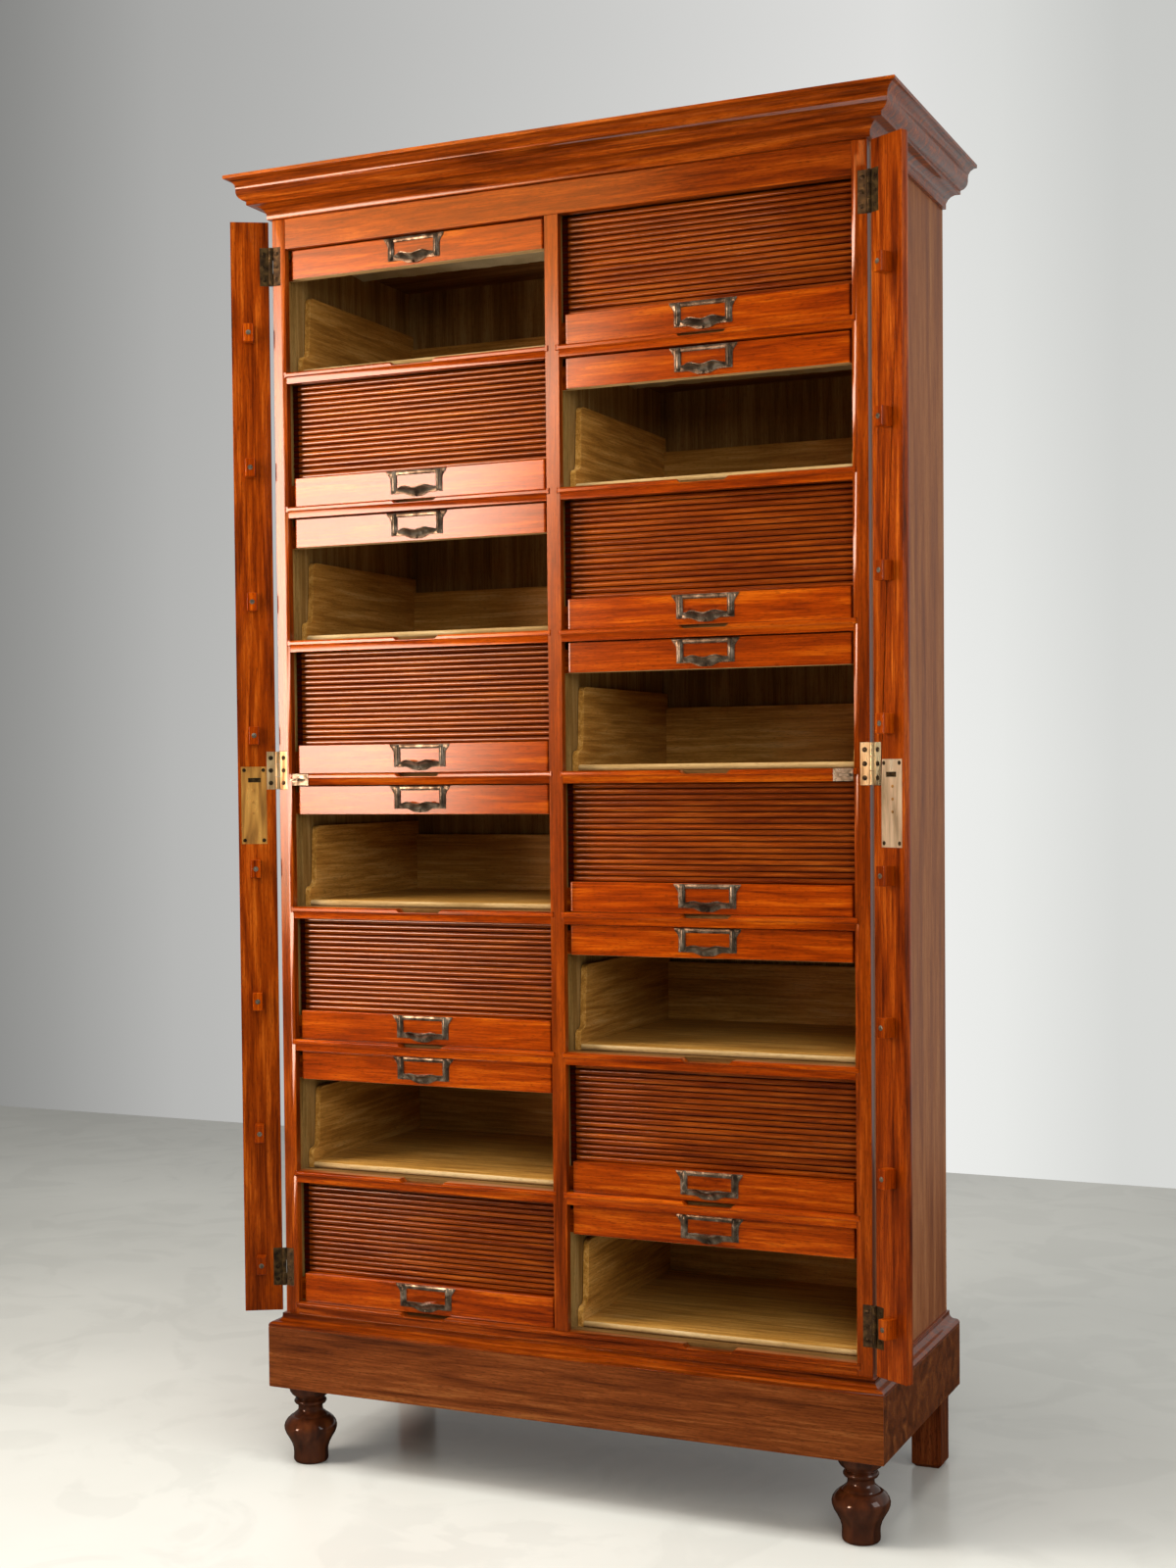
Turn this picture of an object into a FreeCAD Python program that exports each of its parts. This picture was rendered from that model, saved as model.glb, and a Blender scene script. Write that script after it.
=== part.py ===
import FreeCAD, Part
import math
import os

# Tambour filing cabinet: sixteen roll-up shutters in two columns, an oak tray behind each,
# and two narrow hinged flaps that lock all the shutters at once.
# Units are millimetres. While building, x runs to the right, y runs back from the front face
# of the stiles and z runs up from the floor. The finished pieces are moved once, on export,
# so that the origin lies on the floor under the centre of the cabinet.

# The body
body_width = 820.0
body_depth = 351.0
foot_height = 107.0
plinth_height = 82.0
plinth_moulding_height = 17.0
plinth_reach = 18.0
frame_inset = 20.0

# The cornice, from its lowest member up
cornice_foot_reach = 5.0
cornice_foot_height = 7.0
cove_reach = 17.0
cove_height = 10.0
cove_bow = 0.19
bead_reach = 2.5
bead_height = 5.0
ovolo_reach = 10.0
ovolo_height = 10.5
ovolo_bow = 0.18
band_height = 4.5
crown_reach = 12.2
crown_height = 12.0
crown_bow = 0.23
cornice_edge_height = 4.5

# The plinth moulding, from its lowest member up
moulding_edge_height = 1.5
moulding_round = 4.8
moulding_round_bow = 0.21
moulding_step = 2.7
moulding_cove_reach = 6.5
moulding_cove_height = 7.7
moulding_cove_bow = 0.2

# The compartments
row_count = 8
opening_height = 163.0
rail_height = 15.5
rail_depth = 14.0
frieze_height = 40.5
stile_width = 19.5
stile_depth = 10.0
centre_stile_width = 19.0
side_thickness = 12.0
lining_thickness = 7.5
shelf_thickness = 6.0
board_thickness = 12.0
back_thickness = 10.0
back_board_count = 5

# The rail nosing, its ears and the finger notch
nosing_reach = 1.2
nosing_height = 7.0
nosing_chamfer = 2.0
ear_length = 4.5
ear_depth = 2.0
notch_width = 68.0
notch_depth = 4.7

# The shutters: a lead bar below, then slats on canvas that follow a track
bar_front = 8.0
bar_back = 22.6
bar_height = 38.0
bar_end_gap = 5.0
bar_clearance = 0.3
bar_top_gap = 1.0
tongue_front = 17.0
tongue_drop = 8.0
tongue_reach = 5.0
canvas_line = 23.0
canvas_lap = 18.0
canvas_end_gap = 0.5
canvas_thickness = 0.8
slat_pitch = 7.35
slat_width = 6.9
slat_height = 4.2
slat_shoulder = 3.0
slat_flat = 4.6
slat_end_gap = 3.5
bend_radius = 10.0
bend_drop = 6.0
track_depth = 5.5
track_inner_gap = 1.2
track_end_gap = 10.0

# The label pulls
pull_width = 76.0
pull_top_width = 88.0
pull_plate = 1.6
pull_low = 4.0
pull_shoulder = 24.0
pull_top_gap = 0.5
window_width = 58.0
window_low = 17.5
window_high = 32.5
hood_radius = 12.5
hood_wall = 1.5
hood_width = 66.0

# The trays
tray_clearance = 1.0
tray_front = 28.0
tray_back_gap = 3.0
tray_side = 8.0
tray_floor = 8.0
tray_height = 108.0
tray_back_height = 88.0
tray_foot = 18.0
tray_curve = 8.0
tray_lean = 4.0

# The flaps, their hinges, lugs and locks
flap_width = 50.5
flap_thickness = 17.8
flap_gap = 1.5
flap_end_gap_low = 3.0
flap_end_gap_high = 2.5
flap_square = 6.8
flap_ovolo = 8.2
flap_angle = 150.0
pin_offset = 2.5
pin_radius = 1.2
pin_clearance = 0.05
knuckle_radius = 3.0
knuckle_relief = 0.4
knuckle_gap = 0.15
hinge_sides = 8
leaf_length = 50.8
leaf_width = 14.5
leaf_thickness = 1.5
hinge_from_end = 59.3
lug_inner = 23.5
lug_width = 13.0
lug_height = 24.0
lug_above_bar = 1.5
lug_tip = 16.0
lock_inner = 15.0
lock_width = 34.0
lock_height = 104.0
lock_plate = 1.5
lock_case_width = 27.0
lock_case_height = 84.0
lock_case_depth = 11.0
lock_slot_width = 17.0
lock_slot_height = 6.0
lock_slot_centre = 31.0
lock_slot_from_top = 18.0
keep_width = 25.0
keep_end_gap = 1.0
keep_plate = 2.0
tongue_width = 13.0
tongue_thickness = 3.0
tongue_length = 9.5
keyhole_radius = 2.6
keyhole_slot = 2.6
keyhole_below_slot = 38.0
keyhole_length = 9.0

# The feet
foot_inset = 40.0
foot_base_radius = 23.6
foot_base_height = 14.0
foot_ball_radius = 35.8
foot_ball_level = 47.5
foot_ball_rise = 10.0
foot_ball_ease = 3.0
foot_neck_radius = 16.5
foot_neck_level = 72.5
foot_neck_height = 4.5
foot_collar_radius = 28.5
foot_collar_height = 17.0
foot_curve_bow = 0.12
foot_sides = 16
rear_foot_size = 40.0
rear_foot_inset = 16.0
rear_foot_chamfer = 5.0
corner_block = 60.0

# Levels and planes that follow from the sizes above
half_width = body_width / 2
base_level = foot_height + plinth_height + plinth_moulding_height
cornice_reach = cornice_foot_reach + cove_reach + bead_reach + ovolo_reach + crown_reach
row_pitch = opening_height + rail_height
first_floor = base_level + rail_height
frieze_level = first_floor + row_count * row_pitch - rail_height
top_level = frieze_level + frieze_height
outer_edge = half_width - stile_width
inner_edge = centre_stile_width / 2
core_half = inner_edge - lining_thickness
column_centre = (outer_edge + inner_edge) / 2
back_plane = body_depth - back_thickness
lining_height = opening_height + rail_height - shelf_thickness
lift = opening_height - bar_height - bar_clearance - bar_top_gap
bend_level = opening_height - bend_drop
bend_end = bend_level + bend_radius * math.pi / 2
bar_top = bar_clearance + bar_height
slat_count = math.floor((bend_end - bar_top) / slat_pitch)
stored_reach = bar_top + lift + slat_count * slat_pitch - bend_end
track_end = canvas_line + bend_radius + stored_reach + track_end_gap
tray_back = back_plane - tray_back_gap
pin_x = -half_width - pin_offset
pin_y = -flap_gap / 2

touching = 0.001
corner_steps = 2
bend_steps = 3
moulding_steps = 4

open_left = (1, 3, 5, 7)
open_right = (2, 4, 6, 8)


def box(x0, x1, y0, y1, z0, z1):
    """A block between two corners."""
    return Part.makeBox(x1 - x0, y1 - y0, z1 - z0, FreeCAD.Vector(x0, y0, z0))


def side_view(y, z):
    """A point of an outline drawn as seen from the side."""
    return FreeCAD.Vector(0, y, z)


def plan_view(x, y):
    """A point of an outline drawn as seen from above."""
    return FreeCAD.Vector(x, y, 0)


def face_of(view, points):
    """A flat face with straight edges from point to point. A repeated point counts once."""
    corners = [view(*points[0])]
    for point in list(points[1:]) + [points[0]]:
        corner = view(*point)
        if corner.distanceToPoint(corners[-1]) > touching:
            corners.append(corner)
    return Part.Face(Part.makePolygon(corners))


def along_x(face, x0, x1):
    """Extrude an outline seen from the side from x0 to x1."""
    solid = face.extrude(FreeCAD.Vector(x1 - x0, 0, 0))
    solid.translate(FreeCAD.Vector(x0, 0, 0))
    return solid


def along_z(face, z0, z1):
    """Extrude an outline seen from above from z0 to z1."""
    solid = face.extrude(FreeCAD.Vector(0, 0, z1 - z0))
    solid.translate(FreeCAD.Vector(0, 0, z0))
    return solid


def moved(shape, x=0.0, y=0.0, z=0.0):
    """A copy of a shape, shifted."""
    copy = shape.copy()
    copy.translate(FreeCAD.Vector(x, y, z))
    return copy


def mirrored(shape):
    """The same piece on the other side of the cabinet."""
    return shape.mirror(FreeCAD.Vector(0, 0, 0), FreeCAD.Vector(1, 0, 0))


def both_sides(shapes):
    """Pieces of the left side together with their mirror images."""
    return list(shapes) + [mirrored(shape) for shape in shapes]


def floor_of(row):
    """Height of the floor of a compartment, counted from the top row down."""
    return first_floor + (row_count - row) * row_pitch


def corner_arc(centre, radius, angle):
    """The point of a circle at an angle in degrees."""
    turn = math.radians(angle)
    return (centre[0] + radius * math.cos(turn), centre[1] + radius * math.sin(turn))


def rounded(centre, radius, first, last, steps=corner_steps):
    """Points of a round stretch from one angle to another, a few equal straight steps apart."""
    turn = (last - first) / steps
    return [corner_arc(centre, radius, first + index * turn) for index in range(steps + 1)]


def small_round(centre, radius):
    """The corners of a small round shape, which has a few flat sides."""
    turn = 360.0 / hinge_sides
    return rounded(centre, radius, turn / 2, 360.0 - turn / 2, hinge_sides - 1)


def bowed(start, end, bow, steps=moulding_steps):
    """Points of an arc from start to end, taken in a few equal straight steps.

    The bow is the height of the arc as a share of its chord, to the left of the way walked."""
    turn = 4 * math.atan(2 * bow)
    dx, dy = end[0] - start[0], end[1] - start[1]
    points = []
    for index in range(1, steps + 1):
        angle = turn * index / steps
        share = math.sin(angle / 2) / math.sin(turn / 2)
        lean = (turn - angle) / 2
        across = share * math.cos(lean)
        rise = share * math.sin(lean)
        points.append((start[0] + dx * across - dy * rise, start[1] + dy * across + dx * rise))
    return points


def stepped(start, steps):
    """An outline given as steps: (across, up) is straight and (across, up, bow) is an arc."""
    points = [start]
    for step in steps:
        here = points[-1]
        there = (here[0] + step[0], here[1] + step[1])
        if len(step) == 3:
            points += bowed(here, there, step[2])
        else:
            points.append(there)
    return points


def mitred_ring(outline, reach, inner):
    """A moulding along the front and both sides, cut to mitres at the front corners.

    The outline is a list of points in (distance outside the body, height)."""
    far = half_width + reach
    near = half_width - inner
    front = face_of(lambda u, z: FreeCAD.Vector(0, -u, z), outline)
    front = along_x(front, -far, far)
    trapezium = face_of(
        plan_view, [(-far, -reach), (far, -reach), (near, inner), (-near, inner)]
    )
    low = front.BoundBox.ZMin
    high = front.BoundBox.ZMax
    front = front.common(along_z(trapezium, low, high))
    side = face_of(lambda u, z: FreeCAD.Vector(-half_width - u, -reach, z), outline)
    side = side.extrude(FreeCAD.Vector(0, body_depth + reach, 0))
    wedge = face_of(
        plan_view, [(-far, -reach), (-near, inner), (-near, body_depth), (-far, body_depth)]
    )
    side = side.common(along_z(wedge, low, high))
    return [front] + both_sides([side])


def cornice():
    """Fillet, cove, bead, ovolo, band, tall cove and top edge, in three mitred lengths."""
    outline = stepped(
        (-frame_inset, top_level),
        [
            (frame_inset + cornice_foot_reach, 0.0),
            (0.0, cornice_foot_height),
            (cove_reach, cove_height, cove_bow),
            (bead_reach, 0.0),
            (0.0, bead_height),
            (ovolo_reach, ovolo_height, -ovolo_bow),
            (0.0, band_height),
            (crown_reach, crown_height, crown_bow),
            (0.0, cornice_edge_height),
            (-frame_inset - cornice_reach, 0.0),
        ],
    )
    return mitred_ring(outline, cornice_reach, frame_inset)


def plinth_moulding():
    """Rounded lower edge, step, cove and fillet, with a plain rail across the back."""
    low = base_level - plinth_moulding_height
    fillet_reach = plinth_reach - moulding_round - moulding_step - moulding_cove_reach
    fillet_height = (
        plinth_moulding_height - moulding_edge_height - moulding_round - moulding_cove_height
    )
    outline = stepped(
        (-frame_inset, low),
        [
            (frame_inset + plinth_reach, 0.0),
            (0.0, moulding_edge_height),
            (-moulding_round, moulding_round, -moulding_round_bow),
            (-moulding_step, 0.0),
            (-moulding_cove_reach, moulding_cove_height, moulding_cove_bow),
            (0.0, fillet_height),
            (-frame_inset - fillet_reach, 0.0),
        ],
    )
    near = half_width - frame_inset
    back = box(-near, near, body_depth - frame_inset, body_depth, low, base_level)
    return mitred_ring(outline, plinth_reach, frame_inset) + [back]


def plinth():
    """Tall plain boards on the front and sides, a back board and four corner blocks."""
    low = foot_height
    high = foot_height + plinth_height
    inner = frame_inset - plinth_reach
    outline = [(-inner, low), (plinth_reach, low), (plinth_reach, high), (-inner, high)]
    near = half_width - inner
    back = box(-near, near, body_depth - frame_inset, body_depth, low, high)
    front_block = box(-near, corner_block - near, inner, inner + corner_block, low, high)
    rear_end = body_depth - frame_inset
    rear_block = box(-near, corner_block - near, rear_end - corner_block, rear_end, low, high)
    return mitred_ring(outline, plinth_reach, inner) + [back] + both_sides([front_block, rear_block])


def foot_rings():
    """The foot as (radius, height) pairs from the floor up: base, ball, neck and collar."""
    ball_edge = foot_ball_radius - foot_ball_ease
    ball_top = foot_ball_level + foot_ball_rise
    shoulder = bowed(
        (ball_edge, ball_top),
        (foot_neck_radius, foot_neck_level),
        -foot_curve_bow,
        corner_steps,
    )
    return [
        (foot_base_radius, 0.0),
        (foot_base_radius, foot_base_height),
        (ball_edge, foot_ball_level - foot_ball_rise),
        (foot_ball_radius, foot_ball_level),
        (ball_edge, ball_top),
        *shoulder,
        (foot_neck_radius, foot_neck_level + foot_neck_height),
        (foot_collar_radius, foot_height - foot_collar_height),
        (foot_collar_radius, foot_height),
    ]


def front_feet():
    """Two turned feet, each a stack of tapered rings with many flat sides."""
    rings = []
    for radius, height in foot_rings():
        corners = [corner_arc((0.0, 0.0), radius, 360.0 * n / foot_sides) for n in range(foot_sides)]
        rings.append([FreeCAD.Vector(x, y, height) for x, y in corners])
    faces = [Part.Face(Part.makePolygon(ring + ring[:1])) for ring in (rings[0], rings[-1])]
    for low, high in zip(rings, rings[1:]):
        for here in range(foot_sides):
            there = (here + 1) % foot_sides
            side = [low[here], low[there], high[there], high[here], low[here]]
            faces.append(Part.Face(Part.makePolygon(side)))
    foot = Part.Solid(Part.Shell(faces))
    place = foot_inset - plinth_reach
    return both_sides([moved(foot, x=place - half_width, y=place)])


def rear_feet():
    """Two plain square posts with their lower edges chamfered."""
    x0 = -half_width - plinth_reach + rear_foot_inset
    y0 = body_depth - rear_foot_size
    post = box(x0, x0 + rear_foot_size, y0, body_depth, 0, foot_height)
    low_edges = [edge for edge in post.Edges if edge.BoundBox.ZMax < touching]
    return both_sides([post.makeChamfer(rear_foot_chamfer, low_edges)])


def side_panels():
    """The two ends of the carcass, behind the stiles."""
    x0 = -half_width
    panel = box(x0, x0 + side_thickness, stile_depth, body_depth, base_level, top_level)
    return both_sides([panel])


def centre_partition():
    """The thin upright board between the two columns."""
    return [box(-core_half, core_half, stile_depth, back_plane, first_floor, top_level)]


def back_boards():
    """Upright boards set side by side between the side panels."""
    inside = half_width - side_thickness
    width = 2 * inside / back_board_count
    boards = []
    for index in range(back_board_count):
        x0 = -inside + index * width
        boards.append(box(x0, x0 + width, back_plane, body_depth, base_level, top_level))
    return boards


def top_and_bottom():
    """The top board inside the cornice and the floor board of the carcass."""
    inside = half_width - side_thickness
    near = half_width - frame_inset
    top = box(-near, near, frame_inset, body_depth, top_level, top_level + board_thickness)
    floor = box(-inside, inside, rail_depth, back_plane, base_level, first_floor)
    return [top, floor]


def shelves():
    """A thin board above every compartment, which also covers the stored curtain."""
    x0 = -half_width + side_thickness
    pieces = []
    for row in range(1, row_count + 1):
        z0 = floor_of(row) + lining_height
        pieces.append(box(x0, -core_half, rail_depth, back_plane, z0, z0 + shelf_thickness))
    return both_sides(pieces)


def track_outline():
    """The track in a lining, seen from the side: an open front, a quarter bend, then back."""
    centre = (canvas_line + bend_radius, bend_level)
    inside = bend_radius - track_inner_gap
    return face_of(
        side_view,
        [
            (stile_depth, 0.0),
            (centre[0] - inside, 0.0),
            *rounded(centre, inside, 180.0, 90.0, bend_steps),
            (track_end, bend_level + inside),
            (track_end, lining_height),
            (stile_depth, lining_height),
        ],
    )


def lining():
    """One compartment lining with its track, for the left wall of the left column."""
    wall = -outer_edge - lining_thickness
    board = box(wall, -outer_edge, stile_depth, back_plane, 0.0, lining_height)
    track = along_x(track_outline(), -outer_edge - track_depth, -outer_edge)
    return board.cut(track)


def track_linings():
    """A lining on each side of every compartment."""
    near = lining()
    far = mirrored(near)
    far.translate(FreeCAD.Vector(-outer_edge - inner_edge, 0, 0))
    pieces = []
    for row in range(1, row_count + 1):
        pieces.append(moved(near, z=floor_of(row)))
        pieces.append(moved(far, z=floor_of(row)))
    return both_sides(pieces)


def rail_section():
    """A rail seen from the side: a flat face below and a nosing along the top."""
    low = rail_height - nosing_height
    return face_of(
        side_view,
        [
            (rail_depth, 0.0),
            (0.0, 0.0),
            (0.0, low),
            (-nosing_reach, low + nosing_reach),
            (-nosing_reach, rail_height - nosing_chamfer),
            (nosing_chamfer - nosing_reach, rail_height),
            (rail_depth, rail_height),
        ],
    )


def finger_notch(x):
    """The shallow notch under a pull, with slanting ends."""
    half = notch_width / 2
    low = rail_height - notch_depth
    face = face_of(
        lambda u, z: FreeCAD.Vector(x + u, -2 * nosing_reach, z),
        [
            (-half, rail_height),
            (notch_depth - half, low),
            (half - notch_depth, low),
            (half, rail_height),
        ],
    )
    return face.extrude(FreeCAD.Vector(0, rail_depth + 4 * nosing_reach, 0))


def ear(x):
    """The end of a nosing that laps on to a stile, outward from x towards the left."""
    low = rail_height - nosing_height
    outline = face_of(
        plan_view,
        [
            (x, -nosing_reach),
            (x, ear_depth),
            (x - ear_length, ear_depth),
            (x - ear_length, 0.0),
            (x - ear_length + nosing_reach, -nosing_reach),
        ],
    )
    return along_z(outline, low, rail_height)


def rail_with_ears(x0, x1, centres):
    """A rail from x0 to x1 with an ear on each end and a notch at each of the centres."""
    rail = along_x(rail_section(), x0, x1)
    right_ear = mirrored(ear(-x1))
    rail = rail.fuse([ear(x0), right_ear]).removeSplitter()
    for x in centres:
        rail = rail.cut(finger_notch(x))
    return rail


def divider_levels():
    """Height of the underside of each divider, from the top down."""
    return [floor_of(row) - rail_height for row in range(1, row_count)]


def divider_rails():
    """A notched rail below every compartment but the lowest, and the keeps let into two."""
    rail = rail_with_ears(-outer_edge, -inner_edge, [-column_centre])
    keep_level = floor_of(row_count // 2) - rail_height
    pieces = []
    for level in divider_levels():
        piece = moved(rail, z=level)
        if abs(level - keep_level) < touching:
            piece = piece.cut(keep())
        pieces.append(piece)
    return both_sides(pieces)


def base_rail():
    """The lowest rail, in one length under both columns."""
    rail = rail_with_ears(-outer_edge, outer_edge, [-column_centre, column_centre])
    return [moved(rail, z=base_level)]


def frieze_rail():
    """The plain rail under the cornice, notched behind for the partition."""
    rail = box(-outer_edge, outer_edge, 0.0, rail_depth, frieze_level, top_level)
    notch = box(-inner_edge, inner_edge, stile_depth, rail_depth, frieze_level, top_level)
    return [rail.cut(notch)]


def stiles():
    """Two outer stiles cut for the hinge leaves and the ears, and a centre stile."""
    outer = box(-half_width, -outer_edge, 0.0, stile_depth, base_level, top_level)
    middle = box(-inner_edge, inner_edge, 0.0, stile_depth, first_floor, frieze_level)
    rail_ears = []
    middle_ears = []
    for level in divider_levels():
        rail_ears.append(moved(ear(-outer_edge), z=level))
        middle_ears.append(moved(mirrored(ear(inner_edge)), z=level))
    rail_ears.append(moved(ear(-outer_edge), z=base_level))
    cuts = [hinge_recess(level) for level in hinge_levels()]
    cuts += [hinge_relief(level) for level in hinge_levels()]
    outer = outer.cut(cuts + rail_ears)
    middle = middle.cut(both_sides(middle_ears))
    return both_sides([outer]) + [middle]


def hinge_levels():
    """Height of the middle of each hinge."""
    flap_low = base_level + flap_end_gap_low
    flap_high = top_level - flap_end_gap_high
    low = flap_low + hinge_from_end
    high = flap_high - hinge_from_end
    return [low, (low + high) / 2, high]


def pin_line(radius, z0, z1):
    """A pin, its hole or a knuckle on the left hinge line."""
    return along_z(face_of(plan_view, small_round((pin_x, pin_y), radius)), z0, z1)


def hinge_recess(level):
    """The shallow recess in the stile for a hinge leaf."""
    half = leaf_length / 2
    return box(pin_x, pin_x + leaf_width, 0.0, leaf_thickness, level - half, level + half)


def hinge_relief(level):
    """The room that the knuckles need in the wood beside them."""
    half = leaf_length / 2
    reach = knuckle_radius + knuckle_relief
    return box(
        pin_x - reach, pin_x + reach, pin_y - reach, pin_y + reach, level - half, level + half
    )


def knuckle_spans(level):
    """The three knuckle lengths of a hinge: lower, middle and upper."""
    part = leaf_length / 3
    low = level - leaf_length / 2
    return [(low + index * part, low + (index + 1) * part) for index in range(3)]


def knuckle(z0, z1):
    """A length of hinge barrel."""
    return pin_line(knuckle_radius, z0, z1)


def fixed_leaf(level):
    """The stile leaf with the outer knuckles and the pin."""
    half = leaf_length / 2
    lower, middle, upper = knuckle_spans(level)
    near = pin_x + knuckle_radius + knuckle_relief
    end = pin_x + leaf_width
    return box(near, end, 0.0, leaf_thickness, level - half, level + half).fuse(
        [
            box(pin_x, near, 0.0, leaf_thickness, lower[0], lower[1] - knuckle_gap),
            box(pin_x, near, 0.0, leaf_thickness, upper[0] + knuckle_gap, upper[1]),
            knuckle(lower[0], lower[1] - knuckle_gap),
            knuckle(upper[0] + knuckle_gap, upper[1]),
            pin_line(pin_radius, lower[0], upper[1]),
        ]
    ).removeSplitter()


def moving_leaf(level):
    """The flap leaf with the middle knuckle, drawn with the flap closed."""
    half = leaf_length / 2
    lower, middle, upper = knuckle_spans(level)
    near = pin_x + knuckle_radius + knuckle_relief
    end = pin_x + leaf_width
    back = -flap_gap - leaf_thickness
    leaf = box(near, end, back, -flap_gap, level - half, level + half).fuse(
        [box(pin_x, near, back, -flap_gap, middle[0], middle[1]), knuckle(middle[0], middle[1])]
    )
    hole = (pin_radius + pin_clearance) / math.cos(math.pi / hinge_sides)
    return leaf.cut(pin_line(hole, lower[0], upper[1])).removeSplitter()


def hinge_leaves():
    """The leaves on the stiles, three a side."""
    return both_sides([fixed_leaf(level) for level in hinge_levels()])


def flap_section():
    """A flap seen from above, closed: flat inside, moulded along both long edges outside."""
    inner = -flap_gap
    square = inner - flap_square
    ovolo = square - flap_ovolo
    outer = inner - flap_thickness
    fillet = flap_thickness - flap_square - flap_ovolo
    x0 = -half_width
    x1 = x0 + flap_width
    return face_of(
        plan_view,
        [
            (x0, inner),
            *rounded((x0 + flap_ovolo, square), flap_ovolo, 180.0, 270.0, moulding_steps),
            (x0 + flap_ovolo + fillet, ovolo),
            (x0 + flap_ovolo + fillet, outer),
            (x1 - flap_ovolo - fillet, outer),
            (x1 - flap_ovolo - fillet, ovolo),
            *rounded((x1 - flap_ovolo, square), flap_ovolo, 270.0, 360.0, moulding_steps),
            (x1, inner),
        ],
    )


def flap_board():
    """The left flap, closed, with room for its hinge leaves, its lock and the key."""
    board = along_z(flap_section(), base_level + flap_end_gap_low, top_level - flap_end_gap_high)
    half = leaf_length / 2
    cuts = [hinge_relief(level) for level in hinge_levels()]
    for level in hinge_levels():
        cuts.append(
            box(
                pin_x,
                pin_x + leaf_width,
                -flap_gap - leaf_thickness,
                -flap_gap,
                level - half,
                level + half,
            )
        )
    return board.cut(cuts + lock_blocks() + [keyhole()])


def flap_lugs():
    """A block for every compartment. It stops the lead bar below it from rising."""
    x0 = pin_x + lug_inner
    pieces = []
    for row in range(1, row_count + 1):
        z0 = floor_of(row) + bar_clearance + bar_height + lug_above_bar
        pieces.append(box(x0, x0 + lug_width, -flap_gap, lug_tip, z0, z0 + lug_height))
    return pieces


def slot_level():
    """Height of the middle of the lock slot, which is that of the middle divider."""
    return floor_of(row_count // 2) - rail_height / 2


def lock_blocks():
    """The outline of a lock: a plate flush with the inside of the flap and a case behind it."""
    top = slot_level() + lock_slot_from_top
    x0 = pin_x + lock_inner
    plate = box(
        x0, x0 + lock_width, -flap_gap - lock_plate, -flap_gap, top - lock_height, top
    )
    margin = (lock_height - lock_case_height) / 2
    side = (lock_width - lock_case_width) / 2
    case = box(
        x0 + side,
        x0 + side + lock_case_width,
        -flap_gap - lock_plate - lock_case_depth,
        -flap_gap - lock_plate,
        top - lock_height + margin,
        top - margin,
    )
    return [plate, case]


def lock():
    """A lock with a slot for the tongue of the keep and a hollow case behind the slot."""
    plate, case = lock_blocks()
    x = pin_x + lock_slot_centre
    half = lock_slot_width / 2
    rise = lock_slot_height / 2
    z = slot_level()
    deep = -flap_gap - lock_plate - lock_case_depth + lock_plate
    hollow = box(x - half, x + half, deep, -flap_gap, z - rise, z + rise)
    return plate.fuse(case).removeSplitter().cut(hollow)


def keyhole():
    """The round and straight parts of a keyhole through the outer face of the flap."""
    x = pin_x + lock_inner + lock_width / 2
    z = slot_level() - keyhole_below_slot
    front = -flap_gap - flap_thickness
    deep = flap_thickness - lock_plate - lock_case_depth
    eye = face_of(lambda u, w: FreeCAD.Vector(u, front, w), small_round((x, z), keyhole_radius))
    eye = eye.extrude(FreeCAD.Vector(0, deep, 0))
    half = keyhole_slot / 2
    shank = box(x - half, x + half, front, front + deep, z - keyhole_length, z)
    return eye.fuse(shank)


def keep():
    """The plate on the middle divider with the tongue that enters the lock."""
    x = pin_x + lock_slot_centre
    z0 = floor_of(row_count // 2) - rail_height
    left = -outer_edge + keep_end_gap
    plate = box(
        left, left + keep_width, -nosing_reach, keep_plate - nosing_reach, z0, z0 + rail_height
    )
    half = tongue_width / 2
    rise = tongue_thickness / 2
    tip = -nosing_reach - tongue_length
    z = slot_level()
    tongue = box(x - half, x + half, tip, -nosing_reach, z - rise, z + rise)
    return plate.fuse(tongue).removeSplitter()


def track_point(distance, offset):
    """A point of the track at a distance along it, set outwards by an offset."""
    if distance <= bend_level:
        return (canvas_line - offset, distance)
    if distance < bend_end:
        turn = 180.0 - math.degrees((distance - bend_level) / bend_radius)
        return corner_arc((canvas_line + bend_radius, bend_level), bend_radius + offset, turn)
    return (canvas_line + bend_radius + distance - bend_end, bend_level + bend_radius + offset)


def slat_joints(start):
    """Distances along the track of the joints between slats, where the canvas can bend."""
    return [start + index * slat_pitch for index in range(slat_count + 1)]


def canvas(start):
    """The canvas as a thin strip that bends only between slats and laps behind the lead bar."""
    joints = slat_joints(start)
    stops = [start - canvas_lap]
    if stops[0] < bend_level < start:
        stops.append(bend_level)
    for stop in joints[:-1]:
        if bend_level - slat_pitch < stop < bend_end + slat_pitch:
            stops.append(stop)
    stops.append(joints[-1])
    half = canvas_thickness / 2
    outer = [track_point(stop, half) for stop in stops]
    inner = [track_point(stop, -half) for stop in reversed(stops)]
    sheet = face_of(side_view, outer + inner)
    reach = track_depth - canvas_end_gap
    return along_x(sheet, -outer_edge - reach, -inner_edge + reach)


def slat(stored):
    """One slat seen from the side, half round in front. A stored slat has fewer corners."""
    flat = slat_flat / 2
    edge = slat_width / 2
    crown = [] if stored else [(-slat_height, 0.0)]
    return face_of(
        side_view,
        [(0.0, -edge), (-slat_shoulder, -flat), *crown, (-slat_shoulder, flat), (0.0, edge)],
    )


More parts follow.
